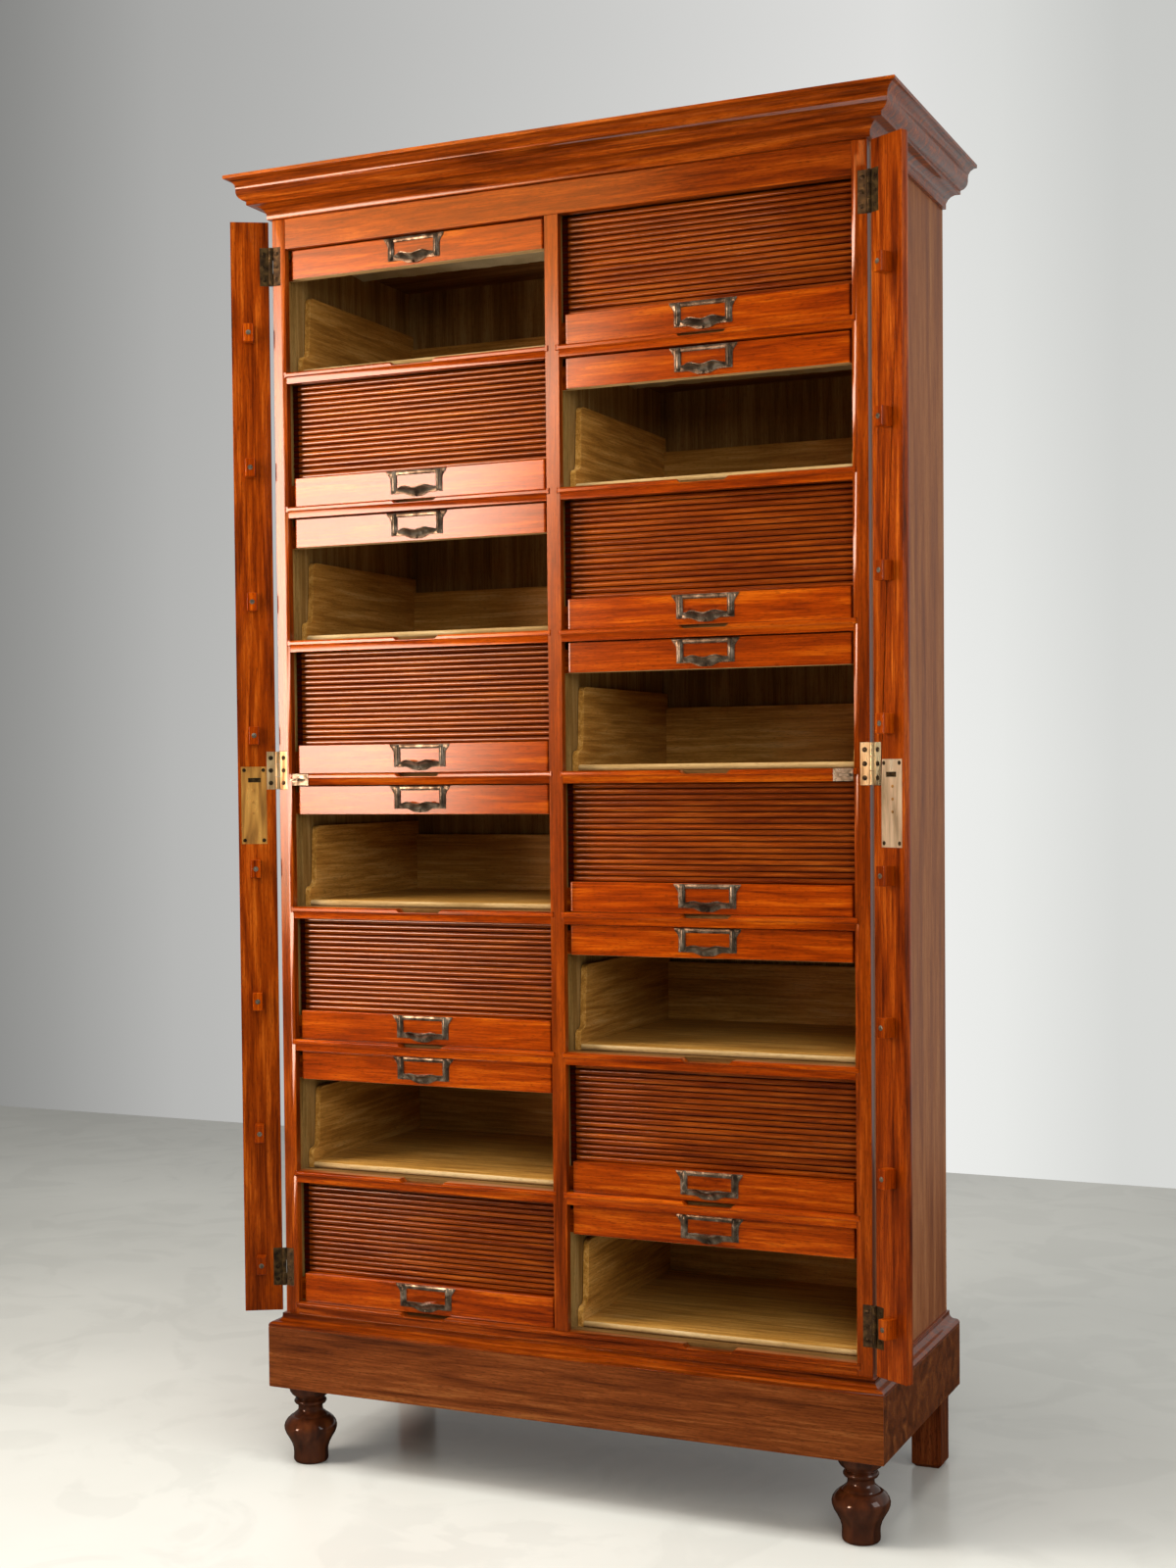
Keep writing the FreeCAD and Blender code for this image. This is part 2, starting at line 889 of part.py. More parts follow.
def curtain(raised):
    """Canvas and slats for the left column, each slat seated flat on its stretch of canvas."""
    start = bar_top + raised
    pieces = [canvas(start)]
    x0 = -outer_edge + slat_end_gap
    x1 = -inner_edge - slat_end_gap
    base = along_x(slat(raised > 0), x0, x1)
    joints = slat_joints(start)
    half = canvas_thickness / 2
    for low, high in zip(joints, joints[1:]):
        here = track_point(low, half)
        there = track_point(high, half)
        tilt = math.degrees(math.atan2(there[0] - here[0], there[1] - here[1]))
        piece = base.copy()
        piece.rotate(FreeCAD.Vector(0, 0, 0), FreeCAD.Vector(1, 0, 0), -tilt)
        pieces.append(moved(piece, y=(here[0] + there[0]) / 2, z=(here[1] + there[1]) / 2))
    return pieces


def pull():
    """A label frame with flared ears above a finger hood, on the face of a bar at x zero."""
    face = bar_front - pull_plate
    half = pull_width / 2
    top = pull_top_width / 2
    high = bar_height - pull_top_gap
    plate = face_of(
        lambda u, z: FreeCAD.Vector(u, face, z),
        [
            (-half, pull_low),
            (half, pull_low),
            (half, pull_shoulder),
            (top, high),
            (-top, high),
            (-half, pull_shoulder),
        ],
    ).extrude(FreeCAD.Vector(0, pull_plate, 0))
    window = box(
        -window_width / 2, window_width / 2, face, bar_front, window_low, window_high
    )
    outer = hood_block(hood_radius, hood_width)
    inner = hood_block(hood_radius - hood_wall, hood_width - 2 * hood_wall)
    return plate.cut(window).fuse(outer).removeSplitter().cut(inner)


def hood_block(radius, width):
    """A quarter cylinder against the plate of a pull, open below."""
    face = bar_front - pull_plate
    low = window_low - hood_radius
    outline = face_of(side_view, [(face, low), *rounded((face, low), radius, 180.0, 90.0)])
    return along_x(outline, -width / 2, width / 2)


def lead_bar(raised):
    """The lead bar with its tongues and pull, for the left column, above a floor at zero."""
    x0 = -outer_edge + bar_end_gap
    x1 = -inner_edge - bar_end_gap
    low = bar_clearance + raised
    bar = box(x0, x1, bar_front, bar_back, low, low + bar_height)
    reach = bar_end_gap + tongue_reach
    tongue = box(
        x0 - reach, x1 + reach, tongue_front, bar_back, low, low + bar_height - tongue_drop
    )
    bar = bar.fuse(tongue).removeSplitter()
    return [bar, moved(pull(), x=-column_centre, z=low)]


def tray_side_board():
    """A tray side seen from the side: an ogee at the foot of its front and a round top corner."""
    foot = (tray_front + tray_curve, tray_foot)
    waist = (tray_front + tray_curve, tray_foot + 2 * tray_curve)
    shoulder = (waist[0] + 2 * tray_curve - tray_lean, tray_height - tray_curve)
    return face_of(
        side_view,
        [
            (tray_front, 0.0),
            *rounded(foot, tray_curve, 180.0, 90.0),
            *rounded(waist, tray_curve, 270.0, 360.0),
            *rounded(shoulder, tray_curve, 180.0, 90.0),
            (tray_back, tray_height),
            (tray_back, 0.0),
        ],
    )


def tray():
    """An oak tray for the left column: two shaped sides, a floor with a round edge and a back."""
    x0 = -outer_edge + tray_clearance
    x1 = -inner_edge - tray_clearance
    inside = tray_back - tray_side
    left = along_x(tray_side_board(), x0, x0 + tray_side)
    right = along_x(tray_side_board(), x1 - tray_side, x1)
    half = tray_floor / 2
    edge = rounded((tray_front + half, half), half, 270.0, 90.0)
    floor = face_of(side_view, [*edge, (inside, tray_floor), (inside, 0.0)])
    floor = along_x(floor, x0 + tray_side, x1 - tray_side)
    back = box(x0 + tray_side, x1 - tray_side, inside, tray_back, 0.0, tray_back_height)
    return [left, right, floor, back]


def placed(shapes, side, row):
    """Pieces drawn for the left column at floor zero, moved to their own compartment."""
    result = [moved(shape, z=floor_of(row)) for shape in shapes]
    if side == "right":
        result = [mirrored(shape) for shape in result]
    return result


def opened(shapes):
    """Pieces of the closed left flap, turned to the angle at which the flap stands."""
    result = []
    for shape in shapes:
        piece = shape.copy()
        piece.rotate(FreeCAD.Vector(pin_x, pin_y, 0), FreeCAD.Vector(0, 0, 1), -flap_angle)
        result.append(piece)
    return result


def save(name, shapes):
    """Move the pieces to the shared origin and write them as one file."""
    depth = body_depth + cornice_reach
    pieces = [moved(shape, y=cornice_reach - depth / 2) for shape in shapes]
    shape = pieces[0] if len(pieces) == 1 else Part.makeCompound(pieces)
    shape.exportStep("parts/" + name + ".step")


def save_carcass():
    """Everything that stays still."""
    save("side_panels", side_panels())
    save("centre_partition", centre_partition())
    save("back_boards", back_boards())
    save("top_and_bottom", top_and_bottom())
    save("shelves", shelves())
    save("track_linings", track_linings())
    save("stiles", stiles())
    save("divider_rails", divider_rails())
    save("base_rail", base_rail())
    save("frieze_rail", frieze_rail())
    save("cornice", cornice())
    save("plinth", plinth())
    save("plinth_moulding", plinth_moulding())
    save("front_feet", front_feet())
    save("rear_feet", rear_feet())
    save("hinge_leaves", hinge_leaves())
    save("lock_keeps", both_sides([keep()]))


def save_flaps():
    """The two locking flaps with what is fixed to them."""
    pieces = {
        "flap": [flap_board()],
        "flap_lugs": flap_lugs(),
        "flap_leaves": [moving_leaf(level) for level in hinge_levels()],
        "lock": [lock()],
    }
    for name, shapes in pieces.items():
        left = opened(shapes)
        save(name + "_left", left)
        save(name + "_right", [mirrored(shape) for shape in left])


def save_compartments():
    """Bars, curtains and trays of the sixteen compartments."""
    low_bar = lead_bar(0.0)
    high_bar = lead_bar(lift)
    low_curtain = curtain(0.0)
    high_curtain = curtain(lift)
    oak_tray = tray()
    stored = []
    shut_trays = []
    for side, open_rows in (("left", open_left), ("right", open_right)):
        for row in range(1, row_count + 1):
            tag = side + "_" + str(row)
            if row in open_rows:
                save("lead_bar_" + tag, placed(high_bar, side, row))
                save("tray_" + tag, placed(oak_tray, side, row))
                stored += placed(high_curtain, side, row)
            else:
                save("lead_bar_" + tag, placed(low_bar, side, row))
                save("curtain_" + tag, placed(low_curtain, side, row))
                shut_trays += placed(oak_tray, side, row)
    save("stored_curtains", stored)
    save("shut_trays", shut_trays)


os.makedirs("parts", exist_ok=True)
save_carcass()
save_flaps()
save_compartments()
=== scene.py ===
# %% [markdown]
# # A tambour filing cabinet
# The cabinet is a mahogany carcass of sixteen compartments. Each one closes with a tambour, which
# is a row of half-round slats glued to canvas, and holds an oak tray. The solids come packed with
# their joints, and stay where they are. This lesson gives them their finishes, and makes the
# shaped pieces again with more detail than the solids carry.

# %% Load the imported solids
import math

import bmesh
import bpy
import numpy as np
from mathutils import Matrix, Vector


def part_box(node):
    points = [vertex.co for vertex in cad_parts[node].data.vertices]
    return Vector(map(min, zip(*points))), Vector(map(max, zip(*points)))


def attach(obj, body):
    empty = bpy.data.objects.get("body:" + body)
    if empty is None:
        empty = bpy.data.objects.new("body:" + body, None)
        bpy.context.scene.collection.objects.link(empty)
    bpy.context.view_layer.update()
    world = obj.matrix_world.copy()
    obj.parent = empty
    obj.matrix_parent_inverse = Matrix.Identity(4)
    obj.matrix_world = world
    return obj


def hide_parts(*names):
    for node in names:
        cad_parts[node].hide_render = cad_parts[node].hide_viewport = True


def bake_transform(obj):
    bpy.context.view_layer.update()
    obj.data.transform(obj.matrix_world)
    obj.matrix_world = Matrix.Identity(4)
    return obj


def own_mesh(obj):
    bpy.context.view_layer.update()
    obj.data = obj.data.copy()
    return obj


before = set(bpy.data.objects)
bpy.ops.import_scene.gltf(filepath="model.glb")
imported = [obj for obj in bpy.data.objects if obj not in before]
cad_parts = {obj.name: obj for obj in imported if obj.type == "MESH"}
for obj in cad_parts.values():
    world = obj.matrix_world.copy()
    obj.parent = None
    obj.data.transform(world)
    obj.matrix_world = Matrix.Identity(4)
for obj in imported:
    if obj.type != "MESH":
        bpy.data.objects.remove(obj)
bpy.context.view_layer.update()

MM = 0.001

# %% [markdown]
# ## Camera
# A photograph fixes the camera by its vanishing lines. Here the place, the turn and the focal
# length were solved from the corners of the body, whose size is known. The axes of the camera are
# worked out from yaw, pitch and roll, because the photographer held it slightly tilted.

# %% Camera
camera_place = Vector((1.1177, -2.5718, 0.929))
yaw, pitch, roll = (math.radians(angle) for angle in (-24.49, -1.81, -0.54))
ahead = Vector((math.sin(yaw) * math.cos(pitch), math.cos(yaw) * math.cos(pitch), math.sin(pitch)))
level_right = Vector((math.cos(yaw), -math.sin(yaw), 0.0))
level_up = level_right.cross(ahead)
right = level_right * math.cos(roll) + level_up * math.sin(roll)
up = -level_right * math.sin(roll) + level_up * math.cos(roll)
camera = bpy.data.objects.new("camera", bpy.data.cameras.new("camera"))
bpy.context.scene.collection.objects.link(camera)
camera.matrix_world = Matrix.Translation(camera_place) @ Matrix((right, up, -ahead)).transposed().to_4x4()
camera.data.lens = 48.32
camera.data.shift_x = 0.0129
camera.data.shift_y = 0.0375
bpy.context.scene.camera = camera
bpy.context.scene.view_settings.view_transform = "Standard"
print("camera at", [round(value, 3) for value in camera_place], "lens", camera.data.lens)

# %% [markdown]
# ## A way to build materials
# A shader is a net of small nodes. Building one by hand in code is wordy, so one function adds a
# node, sets its values and joins its inputs. Colours are written as sRGB hex, as a paint chart
# gives them, and one function turns them to the linear light that a shader works in.


# %% Colours and nodes
def linear(hex_colour):
    """An sRGB colour such as "#a0522d" as linear red, green, blue and alpha."""
    parts = np.array([int(hex_colour[i : i + 2], 16) / 255 for i in (1, 3, 5)])
    light = np.where(parts <= 0.04045, parts / 12.92, ((parts + 0.055) / 1.055) ** 2.4)
    return (*light.tolist(), 1.0)


def add(tree, kind, settings=None, links=None, stops=None):
    """Adds a node, sets its properties or sockets, joins outputs to it and fills a colour ramp.

    A link is a socket, or a node whose first output is meant. Stops are (position, hex colour)."""
    node = tree.nodes.new("ShaderNode" + kind)
    for key, value in (settings or {}).items():
        if isinstance(key, str) and hasattr(node, key):
            setattr(node, key, value)
        else:
            node.inputs[key].default_value = value
    for key, source in (links or {}).items():
        tree.links.new(source.outputs[0] if isinstance(source, bpy.types.Node) else source, node.inputs[key])
    for index, (position, colour) in enumerate(stops or []):
        band = node.color_ramp.elements
        mark = band[index] if index < 2 else band.new(position)
        mark.position = position
        mark.color = linear(colour)
    return node


def new_material(name):
    """An empty node material and its tree, ready for a shader."""
    material = bpy.data.materials.new(name)
    material.use_nodes = True
    material.node_tree.nodes.clear()
    return material, material.node_tree


# %% [markdown]
# ## Room and light
# The floor is a pale sheet that ends 2.2 m behind the cabinet. Beyond it the world itself is the
# wall, so nothing stands in the way when the cabinet is looked at from behind. Polished wood
# shows what it faces. So for reflections alone the world is a dark room with a bright window in
# it, and the floor is a dark carpet. The window is what shines on the left column. The light
# itself comes from four soft lamps and a weak even glow.

# %% Floor
wall_distance = 2.22
floor_reach = 9.0


def floor_material():
    """Polished screed: cement floated flat and ground, which leaves faint clouds and a soft shine.

    Reflections see a dark carpet in its place, because the pale floor would wash the polish out."""
    material, tree = new_material("polished_screed")
    place = add(tree, "TexCoord").outputs["Object"]
    clouds = add(tree, "TexNoise", {"Scale": 1.3, "Detail": 6.0}, {"Vector": place})
    veins = add(tree, "TexNoise", {"Scale": 5.0, "Detail": 8.0, "Distortion": 1.5}, {"Vector": place})
    tint = add(tree, "ValToRGB", links={0: clouds}, stops=[(0.3, "#dfdfd7"), (0.7, "#eeeee6")])
    thin = add(tree, "MapRange", {1: 0.42, 2: 0.5, 3: 0.1, 4: 0.0}, {0: veins})
    colour = add(tree, "Mix", {"data_type": "RGBA", 7: linear("#a9aaa3")}, {0: thin, 6: tint})
    shine = add(tree, "MapRange", {1: 0.3, 2: 0.7, 3: 0.16, 4: 0.26}, {0: clouds})
    links = {"Base Color": colour.outputs[2], "Roughness": shine}
    shader = add(tree, "BsdfPrincipled", {"Specular IOR Level": 0.6}, links)
    carpet = add(tree, "BsdfDiffuse", {"Color": linear("#4c4238")})
    seen = add(tree, "LightPath")
    both = add(tree, "MixShader", links={0: seen.outputs["Is Glossy Ray"], 1: shader, 2: carpet})
    add(tree, "OutputMaterial", links={0: both})
    return material


corners = [(-floor_reach, -floor_reach, 0), (floor_reach, -floor_reach, 0)]
corners += [(floor_reach, wall_distance, 0), (-floor_reach, wall_distance, 0)]
floor_mesh = bpy.data.meshes.new("floor")
floor_mesh.from_pydata(corners, [], [(0, 1, 2, 3)])
floor_mesh.materials.append(floor_material())
floor = bpy.data.objects.new("floor", floor_mesh)
bpy.context.scene.collection.objects.link(floor)


# %% Wall and dark room
wall_slopes = {1: -0.86, 2: -0.15}


def wall_and_room(tree, parts, slope):
    """A wall that is paler towards the right, and the dark room that reflections see instead.

    The wall runs between two slopes x / y and grows darker with height."""
    across = add(tree, "MapRange", wall_slopes, {0: slope})
    greys = [(0.03, "#8d8d8b"), (0.09, "#999997"), (0.16, "#a9a9a7"), (0.22, "#b6b6b4")]
    greys += [(0.35, "#c2c2c0"), (0.59, "#dadad8"), (0.82, "#f0f0ee"), (0.89, "#e9eae7"), (0.97, "#d8d9d6")]
    wall = add(tree, "ValToRGB", links={0: across}, stops=greys)
    dimmer = add(tree, "MapRange", {1: 0.0, 2: 0.33, 3: 1.0, 4: 0.84}, {0: parts.outputs[2]})
    shown = add(tree, "Background", links={0: wall, 1: dimmer})
    back = add(tree, "MapRange", {1: -0.1, 2: 0.35, 4: 0.5}, {0: parts.outputs[1]})
    mirrored = add(tree, "Mix", {"data_type": "RGBA", 6: linear("#3e3832")}, {0: back, 7: wall})
    return shown, add(tree, "Background", {"Strength": 1.0}, {0: mirrored.outputs[2]})


# %% Window in the polish
pane_place = {"Location": (0.605, -0.105, 0.0), "Rotation": (0.0, 0.0, -0.3), "Scale": (0.145, 0.2, 1.0)}
pane_fade = {1: 0.35, 2: 1.0, 3: 17.5}
glow_fade = {1: 0.7, 2: 1.15, 3: 7.5}
glow_ends = {1: 0.9, 2: 1.7, 3: 1.0, 4: 0.0}


def window(tree, parts, slope):
    """A leaning pane of daylight in a larger warm glow, both in front of the cabinet.

    A direction is placed by x / y across and z / y up, in half sizes of the pane from its middle.
    The larger of the two fades the pane. The first fades the glow, and the second its ends. A
    fade holds where it starts, where it stops, and the strength before it."""
    rise = add(tree, "Math", {"operation": "DIVIDE"}, {0: parts.outputs[2], 1: parts.outputs[1]})
    plane = add(tree, "CombineXYZ", links={0: slope, 1: rise})
    placed = add(tree, "Mapping", {"vector_type": "TEXTURE", **pane_place}, {"Vector": plane})
    placed = add(tree, "VectorMath", {"operation": "ABSOLUTE"}, {0: placed})
    across, up = add(tree, "SeparateXYZ", links={0: placed}).outputs[:2]
    away = add(tree, "Math", {"operation": "MAXIMUM"}, {0: across, 1: up})
    smooth = {"interpolation_type": "SMOOTHSTEP", 4: 0.0}
    pane = add(tree, "MapRange", {**smooth, **pane_fade}, {0: away})
    glow = add(tree, "MapRange", {**smooth, **glow_fade}, {0: across})
    ends = add(tree, "MapRange", glow_ends, {0: up})
    glow = add(tree, "Math", {"operation": "MULTIPLY"}, {0: glow, 1: ends})
    in_front = add(tree, "MapRange", {1: -0.05, 2: 0.05, 3: 1.0, 4: 0.0}, {0: parts.outputs[1]})
    lights = []
    for strength, colour in ((pane, "#fff0e2"), (glow, "#ffa050")):
        strength = add(tree, "Math", {"operation": "MULTIPLY"}, {0: strength, 1: in_front})
        lights.append(add(tree, "Background", {0: linear(colour)}, {1: strength}))
    return add(tree, "AddShader", links={0: lights[0], 1: lights[1]})


# %% World
world = bpy.data.worlds.new("studio")
world.use_nodes = True
bpy.context.scene.world = world
tree = world.node_tree
tree.nodes.clear()
parts = add(tree, "SeparateXYZ", links={0: add(tree, "TexCoord").outputs["Generated"]})
slope = add(tree, "Math", {"operation": "DIVIDE"}, {0: parts.outputs[0], 1: parts.outputs[1]})
shown, dark_room = wall_and_room(tree, parts, slope)
glossy = add(tree, "AddShader", links={0: dark_room, 1: window(tree, parts, slope)})
seen = add(tree, "LightPath")
soft = add(tree, "Background", {0: linear("#f4f5f6"), "Strength": 0.21})
rays = add(tree, "MixShader", links={0: seen.outputs["Is Glossy Ray"], 1: soft, 2: glossy})
both = add(tree, "MixShader", links={0: seen.outputs["Is Camera Ray"], 1: rays, 2: shown})
add(tree, "OutputWorld", links={0: both})


# %% Lamps
def lamp(name, place, target, width, height, watts, colour, mirrored=False):
    """A rectangular soft lamp aimed at a point, which shows in polish only where mirrored."""
    data = bpy.data.lights.new(name, "AREA")
    data.shape = "RECTANGLE"
    data.size, data.size_y, data.energy = width, height, watts
    data.color = linear(colour)[:3]
    lamp_object = bpy.data.objects.new(name, data)
    bpy.context.scene.collection.objects.link(lamp_object)
    lamp_object.location = place
    lamp_object.rotation_euler = (Vector(target) - Vector(place)).to_track_quat("-Z", "Y").to_euler()
    lamp_object.visible_glossy = mirrored


lamp("window_light", (-1.05, -0.85, 1.35), (-0.25, 0.0, 1.15), 0.5, 1.1, 22.0, "#fff6ee")
lamp("overhead", (0.0, -1.0, 4.0), (0.0, -0.9, 0.0), 2.6, 1.8, 117.0, "#fffefa")
lamp("front_fill", (1.7, -2.6, 1.9), (0.0, 0.0, 1.0), 1.2, 1.2, 29.0, "#fffcf8")
lamp("right_fill", (3.6, -0.6, 1.8), (0.4, 0.0, 0.9), 1.6, 2.2, 26.0, "#ffffff", mirrored=True)

# %% [markdown]
# ## Wood
# Sawn wood is a bundle of long fibres, so any pattern on it is stretched along the grain. Four
# noises do this: broad streaks from the growth rings, two widths of fibres, and short dark
# flecks, which are the open pores of mahogany and oak. Each board carries its own coordinates in
# an attribute named grain, with the first axis along the board, and a number named tone, which
# shifts the pattern and the colour so that no two boards look the same. The finest fibres are
# 1 mm wide, coarser than real ones, so that they still show.


# %% Wood materials
def wood(name, shades, streak, polish, along=None, wave=0.7, pores=0.4, pore="#2a0e04", groove_dirt_and_shade=None):
    """A wood with streaks of a width in mm. Shades are four colours from dark to light.

    Polish is (roughness, gleam, coat weight, coat roughness, height of the fibres). The gleam is
    light thrown back by the fibres under the polish, in the wood's own colour. Along names the
    axis order for a node that carries no grain attribute, with the axis along the board first.
    The groove colour is laid where the attribute named groove is high: old grime, and painted shade deep
    between the slats."""
    shades = shades.split()
    material, tree = new_material(name)
    if along is None:
        place = add(tree, "Attribute", {"attribute_name": "grain"}).outputs["Vector"]
    else:
        parts = add(tree, "SeparateXYZ", links={0: add(tree, "TexCoord").outputs["Object"]})
        order = {number: parts.outputs["XYZ".index(axis)] for number, axis in enumerate(along)}
        place = add(tree, "CombineXYZ", links=order)
    tone = add(tree, "Attribute", {"attribute_name": "tone"}).outputs["Fac"]
    place = add(tree, "VectorMath", {"operation": "MULTIPLY_ADD", 1: (17.0, 5.0, 9.0)}, {0: tone, 2: place})
    patterns = [(16 * streak, streak, 3.0, wave)]
    patterns += [(70.0, 2.6, 2.0, 0.2), (26.0, 1.0, 1.0, 0.0), (7.0, 0.8, 0.0, 0.0)]
    noises = []
    for length, width, detail, bend in patterns:
        scale = (1 / (length * MM), 1 / (width * MM), 1 / (width * MM))
        stretch = add(tree, "Mapping", {"Scale": scale}, {"Vector": place})
        settings = {"Scale": 1.0, "Detail": detail, "Distortion": bend}
        noises.append(add(tree, "TexNoise", settings, {"Vector": stretch}))
    rings, fibres, fine, holes = noises
    figure = add(tree, "Math", {"operation": "MULTIPLY_ADD", 1: 0.55}, {0: fibres, 2: rings})
    figure = add(tree, "Math", {"operation": "MULTIPLY_ADD", 1: 0.3}, {0: fine, 2: figure})
    figure = add(tree, "MapRange", {1: 0.6, 2: 1.25}, {0: figure})
    colour = add(tree, "ValToRGB", links={0: figure}, stops=list(zip((0.05, 0.4, 0.62, 0.95), shades)))
    level = add(tree, "MapRange", {3: 0.85, 4: 1.15}, {0: tone})
    colour = add(tree, "HueSaturation", links={"Color": colour, "Value": level})
    depth = add(tree, "MapRange", {1: 0.6, 2: 0.72, 4: pores}, {0: holes})
    colour = add(tree, "Mix", {"data_type": "RGBA", 7: linear(pore)}, {0: depth, 6: colour})
    # The groove colour darkens the grooves: old grime, and painted shade where the slats meet.
    if groove_dirt_and_shade:
        groove = add(tree, "Attribute", {"attribute_name": "groove"}).outputs["Fac"]
        share = add(tree, "MapRange", {1: 0.14, 2: 0.62, 4: 0.96}, {0: groove})
        colour = add(tree, "Mix", {"data_type": "RGBA", 7: linear(groove_dirt_and_shade)}, {0: share, 6: colour.outputs[2]})
        fade = {1: 0.12, 2: 0.45, 4: 0.0}
        gloss = [add(tree, "MapRange", {**fade, 3: value}, {0: groove}) for value in polish[1:3]]
    height = add(tree, "Math", {"operation": "MULTIPLY_ADD", 1: -0.8}, {0: depth, 2: fibres})
    bump = add(tree, "Bump", {"Strength": polish[4], "Distance": 0.0004}, {"Height": height})
    rough = add(tree, "MapRange", {1: 0.35, 2: 0.65, 3: polish[0] - 0.03, 4: polish[0] + 0.05}, {0: rings})
    settings = {"Specular IOR Level": polish[1], "Specular Tint": linear(shades[3])}
    settings.update({"Coat Weight": polish[2], "Coat Roughness": polish[3]})
    links = {"Base Color": colour.outputs[2], "Roughness": rough, "Normal": bump}
    if groove_dirt_and_shade:
        links.update({"Specular IOR Level": gloss[0], "Coat Weight": gloss[1]})
    shader = add(tree, "BsdfPrincipled", settings, links)
    add(tree, "OutputMaterial", links={0: shader})
    return material


french_polish = (0.42, 1.0, 0.85, 0.08, 0.0)
flap_polish = (0.42, 1.0, 0.45, 0.15, 0.0)
slat_polish = (0.42, 1.0, 1.0, 0.12, 0.0)
worn_polish = (0.5, 0.5, 0.3, 0.25, 0.04)
faded_polish = (0.5, 0.4, 0.12, 0.3, 0.02)
stained_wood = (0.62, 0.3, 0.1, 0.4, 0.1)
oiled_wood = (0.55, 0.3, 0.15, 0.35, 0.1)
bare_wood = (0.75, 0.1, 0.0, 0.3, 0.2)

# %% Mahoganies
# Rails and lead bars: planed, filled and rubbed with shellac. An orange figure under sharp gloss.
mahogany = wood("french_polished_mahogany", "#4c1201 #822c00 #9c3c01 #c05c0a", 11.0, french_polish)
# Framing: the same polish, thicker and older, so it is browner, over a wavier grain. Its darker shades also
# paint the shade under the cornice and low on the stiles.
frame_mahogany_and_shade = wood("framing_mahogany_and_shade", "#421301 #6c2702 #843403 #a84f0f", 15.0, french_polish, wave=1.6)
# Cornice: moulded with planes, then polished. A darker brown that paints the shade on its faces turned up
# and down, with highlights along its edges.
shade_dark_cornice_mahogany = wood("shade_dark_cornice_mahogany", "#3c1201 #6c2902 #843603 #aa5414", 10.0, french_polish)
# Flaps: polished, then handled daily. A bold figure and a softer, weaker shine.
flap_mahogany = wood("flap_mahogany", "#3e1003 #762a03 #923a04 #bc5c14", 17.0, flap_polish, wave=1.4)
# Plinth: polish scuffed by shoes and brooms. Dull brown, with its fibres just standing up.
plinth_mahogany = wood("worn_mahogany", "#3e1a08 #66300f #7a3d16 #9a5b28", 22.0, worn_polish, wave=1.2)
# Sides: thin polish that daylight has bleached. Pinkish, even and nearly matt.
faded = "#83482a #a06039 #b07046 #c08356"
side_mahogany = wood("faded_mahogany_panel", faded, 20.0, faded_polish, "ZXY", 0.5, 0.2)
# Slats: moulded strips under a full coat. A bright line on each crown, and the grooves darkened for old
# polish and painted shade.
slat_shades = "#521602 #6e2b03 #823605 #9e4f12"
slat_mahogany = wood("tambour_mahogany", slat_shades, 9.0, slat_polish, pores=0.2, groove_dirt_and_shade="#340501")
# Rear feet: sawn posts, stained and never planed. Rough and dark.
post_shades = "#3c1608 #642c10 #783a18 #925026"
post_wood = wood("rough_stained_post", post_shades, 9.0, stained_wood, "ZXY", pores=0.6, pore="#1c0a04")

# %% Oak and pine
# Trays: oak, planed and oiled long ago. Yellow and silky, with short dark pores.
oak = wood("planed_oak", "#94652a #b27e36 #c69246 #d8ab64", 8.0, oiled_wood, pores=0.35, pore="#5f4018")
# Linings, back and shelves: pine straight from the saw. Matt, and grey-brown with dust.
lining_shades = "#7c5a2c #93703c #a5824a #b8965e"
lining_pine = wood("sawn_pine_lining", lining_shades, 12.0, bare_wood, "ZXY", pores=0.3, pore="#4d3518")
board_shades = "#6c4a22 #856031 #98733f #ae8a54"
back_pine = wood("rough_pine_board", board_shades, 24.0, bare_wood, "ZXY", pores=0.35, pore="#3d2812")
shelf_shades = "#5c3f1e #76532c #8a6538 #a17a4a"
shelf_pine = wood("sawn_pine_shelf", shelf_shades, 14.0, bare_wood, "XYZ", pores=0.4, pore="#332010")
# Undersides of bars and fronts of tray floors: cut edges that were never coated. Pale and matt.
edge_shades = "#9c7c4c #b59360 #c4a471 #d6bb8c"
bare_edge = wood("unpolished_edge", edge_shades, 9.0, bare_wood, pores=0.3, pore="#6b4f2a")
print("woods", len(bpy.data.materials) - 1)

# %% [markdown]
# ## Turned polish, metal and canvas
# The feet are stained brown and carry a thick glossy polish. The brass of the hinges and locks has
# gone brown in the air, and the label pulls are brass that was bronzed when new. The middle hinges
# and the lock plates are painted paler for the reflections they catch, and the right plate is also
# rubbed pale. A tarnish layer is not metal, so these finishes are part metal and part paint to the
# eye. Canvas is a plain weave, drawn at 1.2 mm a thread so that it shows.


# %% Polish
def turned_polish():
    """Hardwood stained brown and polished on the lathe, so highlights are small and very bright."""
    material, tree = new_material("dark_turned_polish")
    place = add(tree, "TexCoord").outputs["Object"]
    stretch = add(tree, "Mapping", {"Scale": (90.0, 90.0, 12.0)}, {"Vector": place})
    streaks = add(tree, "TexNoise", {"Scale": 1.0, "Detail": 4.0, "Distortion": 0.4}, {"Vector": stretch})
    browns = [(0.3, "#2e1206"), (0.55, "#4a220c"), (0.8, "#623214")]
    colour = add(tree, "ValToRGB", links={0: streaks}, stops=browns)
    settings = {"Roughness": 0.5, "Specular IOR Level": 0.2, "Coat Weight": 1.0, "Coat Roughness": 0.04}
    shader = add(tree, "BsdfPrincipled", settings, {"Base Color": colour})
    add(tree, "OutputMaterial", links={0: shader})
    return material


